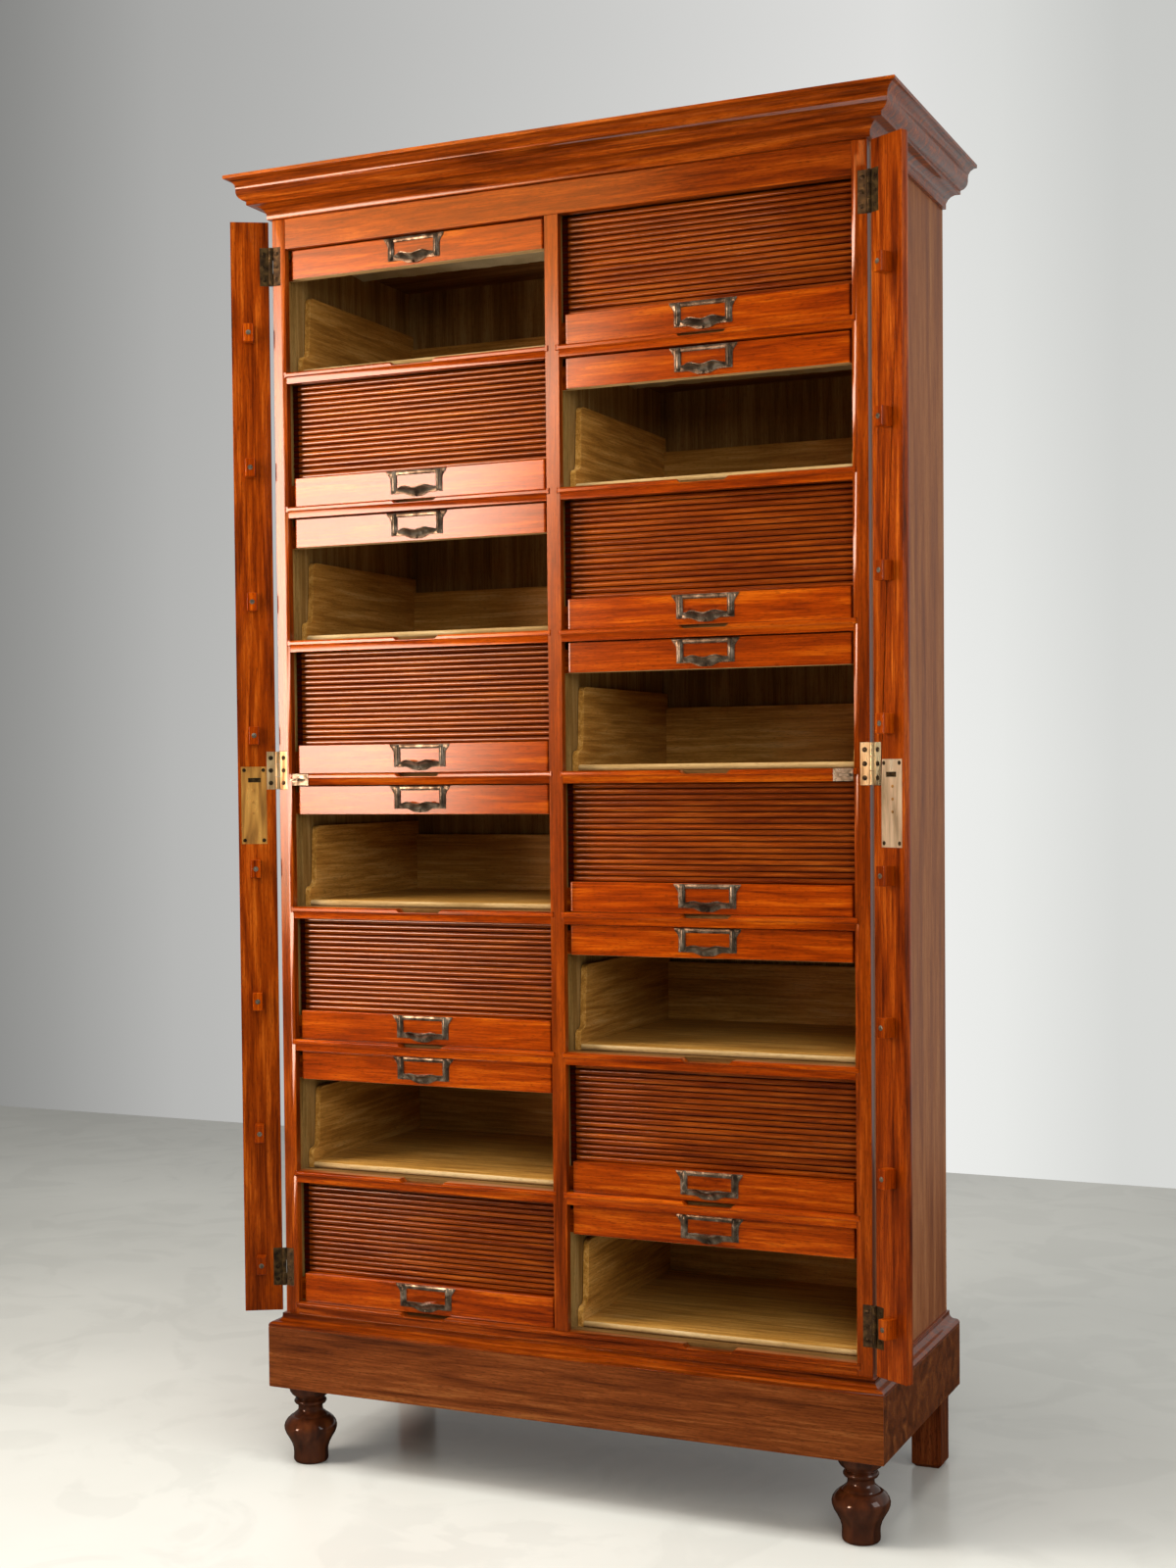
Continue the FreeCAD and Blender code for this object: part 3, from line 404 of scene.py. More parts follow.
# %% Metals
def old_metal(name, shades, roughness, metallic, streak=(1.0, 1.0, 1.0), patch=8.0):
    """Rolled or cast metal with tarnish in patches, which may be drawn out along an axis.

    Shades run from clean to tarnished, and a patch is a width in mm."""
    material, tree = new_material(name)
    place = add(tree, "TexCoord").outputs["Object"]
    scale = [factor / (patch * MM) for factor in streak]
    stretch = add(tree, "Mapping", {"Scale": scale}, {"Vector": place})
    patches = add(tree, "TexNoise", {"Scale": 1.0, "Detail": 5.0, "Distortion": 0.4}, {"Vector": stretch})
    marks = list(zip((0.36, 0.5, 0.66), shades.split()))
    colour = add(tree, "ValToRGB", links={0: patches}, stops=marks)
    rough = add(tree, "MapRange", {1: 0.3, 2: 0.7, 3: roughness - 0.06, 4: roughness + 0.12}, {0: patches})
    links = {"Base Color": colour, "Roughness": rough}
    shader = add(tree, "BsdfPrincipled", {"Metallic": metallic}, links)
    add(tree, "OutputMaterial", links={0: shader})
    return material


# %% Canvas
def canvas_weave(name, shades, gap):
    """Plain canvas: two crossed sets of threads, dark gaps between them and a few stains."""
    material, tree = new_material(name)
    place = add(tree, "TexCoord").outputs["Object"]
    thread = 1.2 * MM
    waves = []
    for direction in ("X", "Y"):
        settings = {"wave_type": "BANDS", "bands_direction": direction, "Distortion": 0.6}
        settings["Scale"] = 0.314 / thread  # a band repeats after 0.314 / scale
        waves.append(add(tree, "TexWave", settings, {"Vector": place}).outputs["Fac"])
    weave = add(tree, "Math", {"operation": "MULTIPLY"}, {0: waves[0], 1: waves[1]})
    stains = add(tree, "TexNoise", {"Scale": 30.0, "Detail": 4.0}, {"Vector": place})
    colour = add(tree, "ValToRGB", links={0: stains}, stops=list(zip((0.3, 0.6, 0.85), shades.split())))
    gaps = add(tree, "MapRange", {1: 0.0, 2: 0.6, 3: 0.22, 4: 0.0}, {0: weave})
    colour = add(tree, "Mix", {"data_type": "RGBA", 7: linear(gap)}, {0: gaps, 6: colour})
    bump = add(tree, "Bump", {"Strength": 0.4, "Distance": 0.0004}, {"Height": weave})
    links = {"Base Color": colour.outputs[2], "Normal": bump}
    shader = add(tree, "BsdfPrincipled", {"Roughness": 0.9}, links)
    add(tree, "OutputMaterial", links={0: shader})
    return material


foot_polish = turned_polish()
upright = (1.0, 1.0, 0.12)
# Middle hinges: rolled brass, streaked upwards by the rolls, in a pale gold that paints the reflection they
# catch.
reflection_pale_brass = old_metal("reflection_pale_hinge_brass", "#f0d8a8 #d0b080 #94744a", 0.3, 0.6, upright)
# Left lock plate: rolled brass under old lacquer. Deep gold with brown patches, made paler to paint the
# reflection it catches.
gold_and_reflection_brass = old_metal("gold_and_reflection_lock_brass", "#f0b45c #c88e44 #8c6030", 0.3, 0.55, upright, 10.0)
# Right lock plate: the same, rubbed bare by a hand and painted nearly white for the reflection it catches.
rubbed_and_reflection_brass = old_metal("rubbed_and_reflection_lock_brass", "#ffe0b8 #ecc8a0 #b89a76", 0.3, 0.55, upright, 10.0)
# Other hinges: brass left to the air. Dark brown with a dull gleam.
dull_brass = old_metal("tarnished_brass", "#604a2a #44331c #2c2014", 0.42, 0.5)
# Keeps and lug screws: steel, filed and greased. Warm grey with a soft shine; on the lug screws the pale
# grey also paints a highlight.
steel = old_metal("worn_steel", "#b0a694 #8c8270 #625a4a", 0.3, 0.7)
# Label pulls: brass, cast in sand and bronzed in a bath. Near black, worn to grey in patches.
bronze = old_metal("bronzed_brass", "#a39480 #6a5d4c #3a3026", 0.24, 0.6, patch=12.0)
# Screws: turned heads, browned with age. Small dark dots.
screw_metal = old_metal("screw_metal", "#5c482c #3c2e1c #221a10", 0.4, 0.6, patch=4.0)
# Tails: flax canvas, woven and left unbleached. Buff and matt, with its threads showing.
canvas = canvas_weave("unbleached_canvas", "#b0a680 #c8be98 #d6cdab", "#5d4f36")
# Behind the slats and in the stored curtains: the same canvas, stained with polish and painted nearly black
# for the shade it lies in, so the grooves look deep.
stain_and_shade_canvas = canvas_weave("shade_darkened_canvas", "#240602 #340903 #421005", "#140301")
print("materials", len(bpy.data.materials))

# %% [markdown]
# ## Pieces from rings
# Nearly every piece of a cabinet is an outline carried along a line: a board, a slat, a turned
# foot. One function does that with arrays. It takes rings of points, joins each ring to the next
# with quads and closes the two ends, or joins the last ring to the first. Another gathers such
# boards into one piece and writes the grain and the tone.

# %% Rings to faces
AXES = {"x": (0, 1, 2), "y": (1, 0, 2), "z": (2, 0, 1)}
dice = np.random.default_rng(7)


def skin(rings, grain="x", joined=False):
    """Rings (rows, count, 3) of points in mm as vertices and faces, with the ends closed."""
    rows, count = rings.shape[:2]
    last = rows if joined else rows - 1
    row, column = np.meshgrid(np.arange(last), np.arange(count), indexing="ij")
    below, after = (row + 1) % rows * count, (column + 1) % count
    row = row * count
    quads = np.stack([row + column, row + after, below + after, below + column], -1)
    faces = quads.reshape(-1, 4).tolist()
    if not joined:
        faces += [list(range(count)), list(range((rows - 1) * count, rows * count))]
    return rings.reshape(-1, 3), faces, grain


def board(outline, axis, stations, grain="x", scale=None, about=(0.0, 0.0)):
    """An outline (n, 2) carried along an axis through the stations.

    The outline's columns are the two other axes in alphabetical order. Scale gives for each
    station a factor, or a pair of factors, about a point."""
    outline, stations = np.asarray(outline, float), np.asarray(stations, float)
    rings = np.empty((len(stations), len(outline), 3))
    first, *others = AXES[axis]
    rings[..., first] = stations[:, None]
    factors = np.ones(len(stations)) if scale is None else np.asarray(scale, float)
    factors = factors.reshape(len(stations), 1, -1)
    rings[..., others] = about + (outline - about)[None] * factors
    return skin(rings, grain)


def block(x0, x1, y0, y1, z0, z1, grain="x"):
    """A plain board between two corners."""
    return board([(x0, y0), (x1, y0), (x1, y1), (x0, y1)], "z", [z0, z1], grain)


def arc(centre, radius, first, last, steps):
    """Points of a round stretch from one angle to another, in degrees."""
    turn = np.radians(np.linspace(first, last, steps + 1))
    return np.stack([centre[0] + radius * np.cos(turn), centre[1] + radius * np.sin(turn)], -1)


def circle(radius, around, centre=(0.0, 0.0)):
    """Points round a full circle."""
    return arc(centre, radius, 0, 360 * (1 - 1 / around), around - 1)


def smooth_step(t):
    """Zero before zero, one after one, and level at both ends."""
    t = np.clip(t, 0.0, 1.0)
    return t * t * (3 - 2 * t)


# %% Numbers on points and faces
def points_of(mesh):
    """The points of a mesh as rows of x, y and z in metres."""
    places = np.empty(len(mesh.vertices) * 3)
    mesh.vertices.foreach_get("co", places)
    return places.reshape(-1, 3)


def write(mesh, name, values):
    """Writes an attribute: one number, or one row of three numbers, for each point."""
    kind, key = ("FLOAT_VECTOR", "vector") if values.ndim == 2 else ("FLOAT", "value")
    attribute = mesh.attributes.new(name, kind, "POINT")
    attribute.data.foreach_set(key, values.astype(np.float32).ravel())


def paint(mesh, numbers):
    """Gives each face the number of its material."""
    mesh.polygons.foreach_set("material_index", np.asarray(numbers).astype(np.int32))


# %% Boards to a piece
def finish_piece(name, mesh, materials, body, slot, stand_for=(), smooth=30.0, bevel=0.0):
    """Makes the object, shades it, rounds its edges by bevel mm and puts it on its body."""
    piece = bpy.data.objects.new(name, mesh)
    bpy.context.scene.collection.objects.link(piece)
    for material in materials if isinstance(materials, (list, tuple)) else [materials]:
        mesh.materials.append(material)
    mesh.polygons.foreach_set("use_smooth", np.ones(len(mesh.polygons), bool))
    mesh.set_sharp_from_angle(angle=math.radians(smooth))
    if bevel:
        rounder = piece.modifiers.new("rounded edges", "BEVEL")
        rounder.width = bevel * MM
        rounder.segments = 2
        rounder.harden_normals = True
        rounder.limit_method = "ANGLE"
        rounder.angle_limit = math.radians(35.0)
    if body:
        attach(piece, body)
    if stand_for:
        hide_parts(*stand_for)
    return piece


def assemble(name, boards, materials, body, slot, stand_for=(), tones=None, kinds=None, **finish):
    """Joins boards into one piece in metres, writes grain and tone, and puts it on its body.

    Kinds gives for each board the number of its material. Finish may hold smooth and bevel."""
    sizes = [len(points) for points, polygons, grain in boards]
    starts = np.cumsum([0] + sizes[:-1])
    faces = [[corner + start for corner in face] for start, item in zip(starts, boards) for face in item[1]]
    mesh = bpy.data.meshes.new(name)
    mesh.from_pydata((np.concatenate([item[0] for item in boards]) * MM).tolist(), [], faces)
    write(mesh, "grain", np.concatenate([points[:, AXES[grain]] for points, polygons, grain in boards]) * MM)
    write(mesh, "tone", np.repeat(dice.random(len(boards)) if tones is None else tones, sizes))
    if kinds is not None:
        paint(mesh, np.repeat(kinds, [len(polygons) for points, polygons, grain in boards]))
    work = bmesh.new()
    work.from_mesh(mesh)
    bmesh.ops.recalc_face_normals(work, faces=work.faces)
    work.to_mesh(mesh)
    work.free()
    return finish_piece(name, mesh, materials, body, slot, stand_for, **finish)


# %% [markdown]
# ## Planed and worn edges
# The straight members keep the shape of their solids. A copy of each solid has its loose
# triangles joined and flat faces merged again, so that a small bevel can round the edges, as a
# plane and a century of hands do. Each separate board in the copy gets its own tone.


# %% Rounded copies of the straight members
def planed(node, name, material, body, slot, grain, bevel):
    """A copy of a node with merged faces, rounded edges and the grain along one axis.

    Each point starts with its own number and takes the lowest one along its edges, until every
    board has a single number. A board's tone is drawn by the rank of that number."""
    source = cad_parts[node]
    work = bmesh.new()
    work.from_mesh(source.data)
    bmesh.ops.transform(work, matrix=source.matrix_world, verts=work.verts)
    bmesh.ops.remove_doubles(work, verts=work.verts, dist=0.00002)
    bmesh.ops.dissolve_limit(work, angle_limit=math.radians(0.5), verts=work.verts, edges=work.edges)
    mesh = bpy.data.meshes.new(name)
    work.to_mesh(mesh)
    work.free()
    ends = np.array([edge.vertices[:] for edge in mesh.edges])
    owner = np.arange(len(mesh.vertices))
    while np.ptp(owner[ends], 1).any():
        np.minimum.at(owner, ends, owner[ends].min(1, keepdims=True))
    boards, owner = np.unique(owner, return_inverse=True)
    write(mesh, "grain", points_of(mesh)[:, AXES[grain]])
    write(mesh, "tone", dice.random(len(boards))[owner])
    print(name, "boards", len(boards), "faces", len(mesh.polygons))
    return finish_piece(name, mesh, material, body, slot, [node], bevel=bevel)


for node, material, grain, bevel in (
    ("stiles", frame_mahogany_and_shade, "z", 0.5),
    ("divider_rails", mahogany, "x", 0.6),
    ("base_rail", frame_mahogany_and_shade, "x", 0.6),
    ("frieze_rail", frame_mahogany_and_shade, "x", 0.6),
    ("cornice", shade_dark_cornice_mahogany, "x", 0.5),
    ("plinth_moulding", frame_mahogany_and_shade, "x", 0.5),
    ("plinth", plinth_mahogany, "x", 0.8),
):
    planed(node, node + "_polished", material, "carcass", "mahogany", grain, bevel)
planed("lock_keeps", "lock_keeps_worn", steel, "carcass", "brass", "x", 0.3)
for side, lock_brass in (("left", gold_and_reflection_brass), ("right", rubbed_and_reflection_brass)):
    planed("flap_" + side, "flap_board_" + side, flap_mahogany, side + "_flap", "mahogany", "z", 0.8)
    planed("flap_lugs_" + side, "lugs_" + side, mahogany, side + "_flap", "mahogany", "z", 0.9)
    planed("lock_" + side, "lock_plate_" + side, lock_brass, side + "_flap", "brass", "z", 0.25)

# %% [markdown]
# Solids whose shape needs nothing more only take a finish.

# %% Finishes on the solids that stay
plain_finishes = {
    "side_panels": side_mahogany,
    "centre_partition": lining_pine,
    "back_boards": back_pine,
    "top_and_bottom": shelf_pine,
    "shelves": shelf_pine,
    "track_linings": lining_pine,
    "rear_feet": post_wood,
    # Stored curtains take the nearly black canvas, which paints the shade they lie in.
    "stored_curtains": stain_and_shade_canvas,
}
for node, material in plain_finishes.items():
    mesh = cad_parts[node].data
    for index in range(len(mesh.materials)):
        mesh.materials[index] = material
print("plain finishes", len(plain_finishes))

# %% [markdown]
# ## The compartments
# Every compartment is the same, and only its floor, its column and whether its shutter is up
# differ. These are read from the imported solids, in millimetres, so that the pieces below cannot
# drift away from them.

# %% Compartments
lift = 123.7
bar_clearance = 0.3
bar_height = 38.0
tongue_reach = 5.0


def span(node):
    """Lowest and highest corner of a node in mm."""
    low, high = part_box(node)
    return np.array(low) / MM, np.array(high) / MM


class Compartment:
    """One compartment, measured from its lead bar: its walls, its floor and its bar."""

    def __init__(self, side, row):
        self.tag = side + "_" + str(row)
        low, high = span("lead_bar_" + self.tag)
        self.raised = "tray_" + self.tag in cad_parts
        self.left, self.right = low[0] + tongue_reach, high[0] - tongue_reach
        self.centre = (self.left + self.right) / 2
        self.bar = low[2]
        self.floor = low[2] - bar_clearance - (lift if self.raised else 0.0)


front_plane = span("stiles")[0][1]
compartments = [Compartment(side, row) for side in ("left", "right") for row in range(1, 9)]
print("front plane", round(front_plane, 2), "floors", [round(place.floor, 1) for place in compartments[:8]])

# %% [markdown]
# ## Screws
# A countersunk screw head is a disc with a slot. Two half discs with a gap between them, over a
# dark disc that lies a little lower, give that with few faces. Every screw is turned its own way.


# %% Screws
def screw(x, y, z, radius, out=-1.0):
    """A slotted head of a radius in mm, which faces forward, or back where out is 1."""
    slot = 0.17 * radius
    edge = math.degrees(math.asin(slot / radius))
    half = arc((0.0, 0.0), radius, edge, 180.0 - edge, 6)
    turn = dice.uniform(0.0, math.pi)
    spin = np.array([(math.cos(turn), math.sin(turn)), (-math.sin(turn), math.cos(turn))])
    depths = y + out * radius * np.array([-0.3, 0.14, 0.2])
    ease = [1.0, 1.0, 0.84]
    pads = [board(pad @ spin + (x, z), "y", depths, "z", ease, (x, z)) for pad in (half, -half)]
    rim_depths = y + out * radius * np.array([-0.4, 0.04])
    rim = board(circle(1.16 * radius, 12, (x, z)), "y", rim_depths, "z")
    return [*pads, rim]


# %% [markdown]
# ## Tambour curtains
# A slat is a strip of wood, flat behind and half round in front, glued to canvas so close to the
# next that only a dark line shows between them. Its profile is the square root of a sine, flatter
# than a half circle, and at each end it steps down to a thin tenon that runs in the track. The
# grooves are darkened for old polish and for painted shade, and the canvas between the slats is
# painted nearly black for the shade there. When a shutter goes up the curtain slides into the
# cabinet. Here it folds away towards its top edge, and the curtain of an open compartment waits
# packed behind the raised bar.

# %% Curtains
slat_pitch = 7.35
slat_width = 6.4
slat_edge = 0.9
slat_crown = 2.3
slat_end_gap = 4.0
slat_tenon = 3.5
canvas_front = 22.6
canvas_thickness = 0.8
opening_height = 163.0
slats_shown = 17


def slat_profile():
    """Section in (y, z): height = edge + crown * square root of the sine of the turn across it."""
    turn = np.linspace(0.0, np.pi, 11)
    height = slat_edge + slat_crown * np.sin(turn) ** 0.5
    crown = np.stack([-height, -np.cos(turn) * slat_width / 2], -1)
    return np.concatenate([[(0.0, -slat_width / 2)], crown, [(0.0, slat_width / 2)]])


def curtain_boards(place, back):
    """The slats of one compartment from the bar to the top of the opening, and their canvas."""
    boards = []
    first = place.floor + bar_clearance + bar_height
    for index in range(slats_shown):
        low = place.left + slat_end_gap + dice.uniform(-0.5, 0.5)
        high = place.right - slat_end_gap + dice.uniform(-0.5, 0.5)
        middle = first + (index + 0.5) * slat_pitch
        thin, full = (0.3, 0.8), (1.0, 1.0)
        stations = [place.left - slat_tenon, low, low + 1.8, high - 1.8, high, place.right + slat_tenon]
        section = slat_profile() + (back, middle)
        ease = [thin, thin, full, full, thin, thin]
        boards.append(board(section, "x", stations, "x", ease, (back, middle)))
    top = first + slats_shown * slat_pitch
    x0, x1 = place.left - 4.0, place.right + 4.0
    boards.append(block(x0, x1, back, back + canvas_thickness, first - 12.0, top))
    return boards


def mark_grooves(mesh, back):
    """Writes how deep each point lies between the slats: 0 on a crown and 1 at the canvas."""
    depth = (points_of(mesh)[:, 1] / MM - back) / (slat_edge + slat_crown) + 1.0
    write(mesh, "groove", depth.clip(0.0, 1.0))


# %% Folding
def fold_for_rest(mesh, top, height, travel):
    """Packs the front of an open curtain behind its raised bar.

    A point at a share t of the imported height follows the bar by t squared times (3 - 2 t), so
    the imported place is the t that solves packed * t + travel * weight(t) = distance from the top."""
    places = points_of(mesh)
    packed = height - travel
    share = np.linspace(0.0, 1.0, 2001)
    reached = packed * share + travel * smooth_step(share)
    wanted = (top - places[:, 2]).clip(0.0, height)
    places[:, 2] = top - packed * np.interp(wanted, reached, share)
    mesh.vertices.foreach_set("co", places.ravel())
    return packed


waiting_line = 27.0
waiting_lap = 25.0
for place in compartments:
    top = (place.floor + opening_height) * MM
    name = "curtain_" + place.tag
    tones = dice.random(slats_shown + 1) * 0.6 + dice.uniform(0.1, 0.4)
    kinds = [0] * slats_shown + [1]
    back = front_plane + (waiting_line if place.raised else canvas_front)
    boards = curtain_boards(place, back)
    body = None if place.raised else "carcass"
    suffix, stand_for = ("_waiting", ()) if place.raised else ("_slats", [name])
    # The canvas between the slats is painted nearly black for the shade there.
    layers = [slat_mahogany, stain_and_shade_canvas]
    piece = assemble(name + suffix, boards, layers, body, "tambour", stand_for, tones, kinds, smooth=50.0)
    mark_grooves(piece.data, back)
    if place.raised:
        height = opening_height - bar_height + waiting_lap
        packed = fold_for_rest(piece.data, top, height * MM, lift * MM)
        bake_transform(piece)
    else:
        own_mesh(piece)
print("slats made", slats_shown * len(compartments))

# %% [markdown]
# The canvas of a curtain runs on past its last slat as a loose tail. Seen from below, the tail of
# an open compartment hangs pale and ragged under its ceiling. It is a thin sheet that sags as the
# square of the way along, with an edge that a run of smoothed random numbers frays.

# %% Canvas tails
tail_start = 150.0
tail_level = 166.6
tail_sag = 3.0
tail_ends = {"left_1": 208.0, "right_2": 246.0}


def canvas_tail(place):
    """A sheet in sections across x: top and bottom lines joined into thin closed rings."""
    end = tail_ends.get(place.tag, 196.0)
    x = np.linspace(place.left + 1.0, place.right - 1.0, 120)
    fray = np.convolve(dice.normal(0.0, 1.0, len(x) + 6), np.ones(7) / 7, "valid") * 4.0
    slope = 9.0 * (x - place.centre) / (place.right - place.left)
    t = np.concatenate([np.linspace(0.0, 1.0, 6), np.linspace(1.0, 0.0, 6)])
    rings = np.empty((len(x), len(t), 3))
    rings[..., 0] = x[:, None]
    rings[..., 1] = front_plane + tail_start + (end + fray + slope - tail_start)[:, None] * t
    rings[..., 2] = place.floor + tail_level - tail_sag * t**2 + np.repeat([0.0, -canvas_thickness], 6)
    return skin(rings)


tails = [canvas_tail(place) for place in compartments if place.raised]
assemble("canvas_tails", tails, canvas, "carcass", "canvas", smooth=40.0)
print("canvas tails", len(tails))

# %% [markdown]
# ## Lead bars
# The lead bar is the solid strip at the foot of the curtain that the hand lifts. Its face is
# polished, its front edges are eased, its underside is left bare, and it ends in tongues that run
# in the track.

# %% Lead bars
bar_front = 8.0
bar_back = 22.6
bar_end_gap = 5.0
tongue_front = 17.0
tongue_drop = 8.0

for place in compartments:
    low, high = place.bar, place.bar + bar_height
    x0, x1 = place.left + bar_end_gap, place.right - bar_end_gap
    y0, y1 = front_plane + bar_front, front_plane + bar_back
    edge = 1.5
    corners = [arc((x0 + edge, y0 + edge), edge, 180, 270, 4), [(x0 + 3.0, y0), (x1 - 3.0, y0)]]
    corners.append(arc((x1 - edge, y0 + edge), edge, 270, 360, 4))
    plan = np.concatenate([[(x1, y1), (x0, y1)], *corners])
    ends = (x0 - bar_end_gap - tongue_reach, x0), (x1, x1 + bar_end_gap + tongue_reach)
    boards = [board(plan, "z", [low, high])]
    boards += [block(*end, front_plane + tongue_front, y1, low, high - tongue_drop) for end in ends]
    tones = [dice.random()] * 3
    shutter, node = "shutter_" + place.tag, "lead_bar_" + place.tag
    name, finishes = "bar_" + place.tag, [mahogany, bare_edge]
    piece = assemble(name, boards, finishes, shutter, "mahogany", [node], tones, bevel=0.7)
    paint(piece.data, [face.normal.z < -0.9 for face in piece.data.polygons])
print("lead bars", len(compartments))

# %% [markdown]
# ## Label pulls
# Each pull is one small casting: a frame round a paper label, two pointed ears for screws, a rib
# on each side, and a lip along the bottom to put a finger under. The lip is swept across the
# pull. Its edge is a cupid's bow, with a hump on each side of a dip, the hollow under it is a
# quarter of an ellipse, and a small apron with a bead hangs below.

# %% Pull frame
pull_half = 38.0
pull_ear = 44.5
pull_low = 7.5
pull_high = 37.4
window_half = 29.0
window_low = 14.5
window_high = 31.5
plate_thickness = 1.3


def closed_loop(side):
    """The loop (u, w) whose right side is given: up it, over the top, down the left and back."""
    t = np.linspace(1.0, -1.0, 11)[1:-1, None]
    top, bottom = (end * np.hstack([way, np.ones_like(t)]) for end, way in ((side[-1], t), (side[0], -t)))
    return np.concatenate([side, top, (side * (-1, 1))[::-1], bottom])


def pull_plate():
    """The flat ring in (u, d, w): across, forward and up. Ears flare as a power of the rise."""
    rise = np.linspace(0.0, 1.0, 11)
    flare = pull_half + (pull_ear - pull_half) * smooth_step((rise - 0.55) / 0.45) ** 1.5
    outer = closed_loop(np.stack([flare, pull_low + (pull_high - pull_low) * rise], -1))
    straight = np.full(11, window_half)
    inner = closed_loop(np.stack([straight, window_low + (window_high - window_low) * rise], -1))
    steps = ((0.0, 0.0), (0.0, 0.75), (0.09, 1.0), (0.91, 1.0), (1.0, 0.8), (1.0, 0.0))
    loops = []
    for share, forward in steps:
        ring = outer + (inner - outer) * share
        loops.append(np.stack([ring[:, 0], np.full(len(ring), forward * plate_thickness), ring[:, 1]], -1))
    return skin(np.stack(loops), "x", joined=True)


def pull_ribs():
    """A half-round rib beside each end of the window, tapered at its ends."""
    half = arc((0.0, 0.0), 1.0, 0, 180, 8) * (3.3, 3.0)
    ease = [(0.5, 0.4), (0.9, 0.85), (1.0, 1.0), (1.0, 1.0), (0.9, 0.85), (0.6, 0.5)]
    levels = [pull_low + rise for rise in (0.6, 1.8, 3.6)] + [pull_high - fall for fall in (3.0, 1.4, 0.5)]
    ribs = []
    for middle in (-window_half - 3.7, window_half + 3.7):
        outline = half + (middle, plate_thickness - 0.4)
        ribs.append(board(outline, "z", levels, "z", ease, (middle, plate_thickness - 0.4)))
    return ribs


# %% Pull lip
lip_half = 34.0
lip_reach = 9.5
lip_end_reach = 1.8
lip_rise = 2.4
lip_dip = 0.6
apron_drop = 4.6


def pull_lip():
    """The finger lip as a run of closed sections across the pull.

    Its edge is a cupid's bow: window_low + rise * exp(-((|u| - 15) / 8)^2) - dip * exp(-(u / 6)^2).
    The hollow under it is a quarter of an ellipse from the edge back to the plate."""
    u = np.linspace(-lip_half, lip_half, 37)
    reach = lip_end_reach + (lip_reach - lip_end_reach) * smooth_step((1.0 - np.abs(u) / 31.0) / 0.5)
    edge = window_low + lip_rise * np.exp(-(((np.abs(u) - 15.0) / 8.0) ** 2))
    edge -= lip_dip * np.exp(-((u / 6.0) ** 2))
    low = pull_low - apron_drop * smooth_step(1.35 * (1.0 - np.abs(u) / 21.0))
    flat, level = np.zeros_like(u), np.full_like(u, window_low + 0.1)
    rows = [(flat, level), (flat + 0.8, level), (reach * 0.55, (edge + window_low) / 2)]
    rows += [(reach - 0.7, edge), (reach, edge - 0.4), (reach - 0.1, edge - 1.2)]
    for t in np.linspace(0.15, np.pi / 2, 6):
        forward = reach - 0.4 - (reach - 1.8) * np.sin(t)
        rows.append((forward, low + 0.8 + (edge - 1.4 - low - 0.8) * np.cos(t)))
    rows += [(flat + 1.3, low), (flat, low)]
    sections = np.array([(u, forward, upward) for forward, upward in rows])
    return skin(sections.transpose(2, 0, 1))


def pull_boards():
    """All parts of a pull in (u, d, w), with a bead under the lip and a screw in each ear."""
    middle = (0.0, pull_low - 3.0)
    ease = [1.0, 1.0, 0.8, 0.4]
    bead = board(circle(1.9, 10, middle), "y", [0.5, 2.0, 2.8, 3.2], "x", ease, middle)
    screws = [item for u in (-40.2, 40.2) for item in screw(u, plate_thickness, pull_high - 3.4, 1.8, 1.0)]
    return [pull_plate(), *pull_ribs(), pull_lip(), bead, *screws]


for place in compartments:
    boards = []
    for points, faces, grain in pull_boards():
        moved = points * (1.0, -1.0, 1.0) + (place.centre, front_plane + bar_front, place.bar)
        boards.append((moved, faces, grain))
    assemble("pull_" + place.tag, boards, bronze, "shutter_" + place.tag, "bronze", smooth=38.0)
print("faces in a pull", sum(len(faces) for points, faces, grain in boards))

# %% [markdown]
# ## Hinges, lock screws and lug screws
# A butt hinge is two flat leaves whose knuckles take turns on one pin. The stile leaf keeps the
# outer two knuckles and the flap leaf has the middle one. Pieces on a flap are drawn with the flap
# closed, where they are easy to place, and then turned about the pin to where the flap stands.

# %% Turning with a flap
flap_angle = 150.0
pin_x = -412.5
pin_depth = -0.75
flap_face = -1.5


def mirrored_boards(boards):
    """The same boards on the right side."""
    return [(points * (-1, 1, 1), faces, grain) for points, faces, grain in boards]


def swung(boards, side):
    """Boards drawn on the closed left flap, turned about its pin and mirrored for the right."""
    turn = math.radians(-flap_angle)
    spin = np.array([(math.cos(turn), math.sin(turn)), (-math.sin(turn), math.cos(turn))])
    pin = np.array([pin_x, front_plane + pin_depth])
    result = []
    for points, faces, grain in boards:
        points = points.copy()
        points[:, :2] = (points[:, :2] - pin) @ spin + pin
        result.append((points, faces, grain))
    return result if side == "left" else mirrored_boards(result)


# %% Hinges
leaf_length = 50.8
leaf_width = 14.5
leaf_thickness = 1.5
knuckle_radius = 3.0
screw_spread = 16.8
low, high = span("flap_leaves_left")
hinge_levels = [low[2] + leaf_length / 2, (low[2] + high[2]) / 2, high[2] - leaf_length / 2]


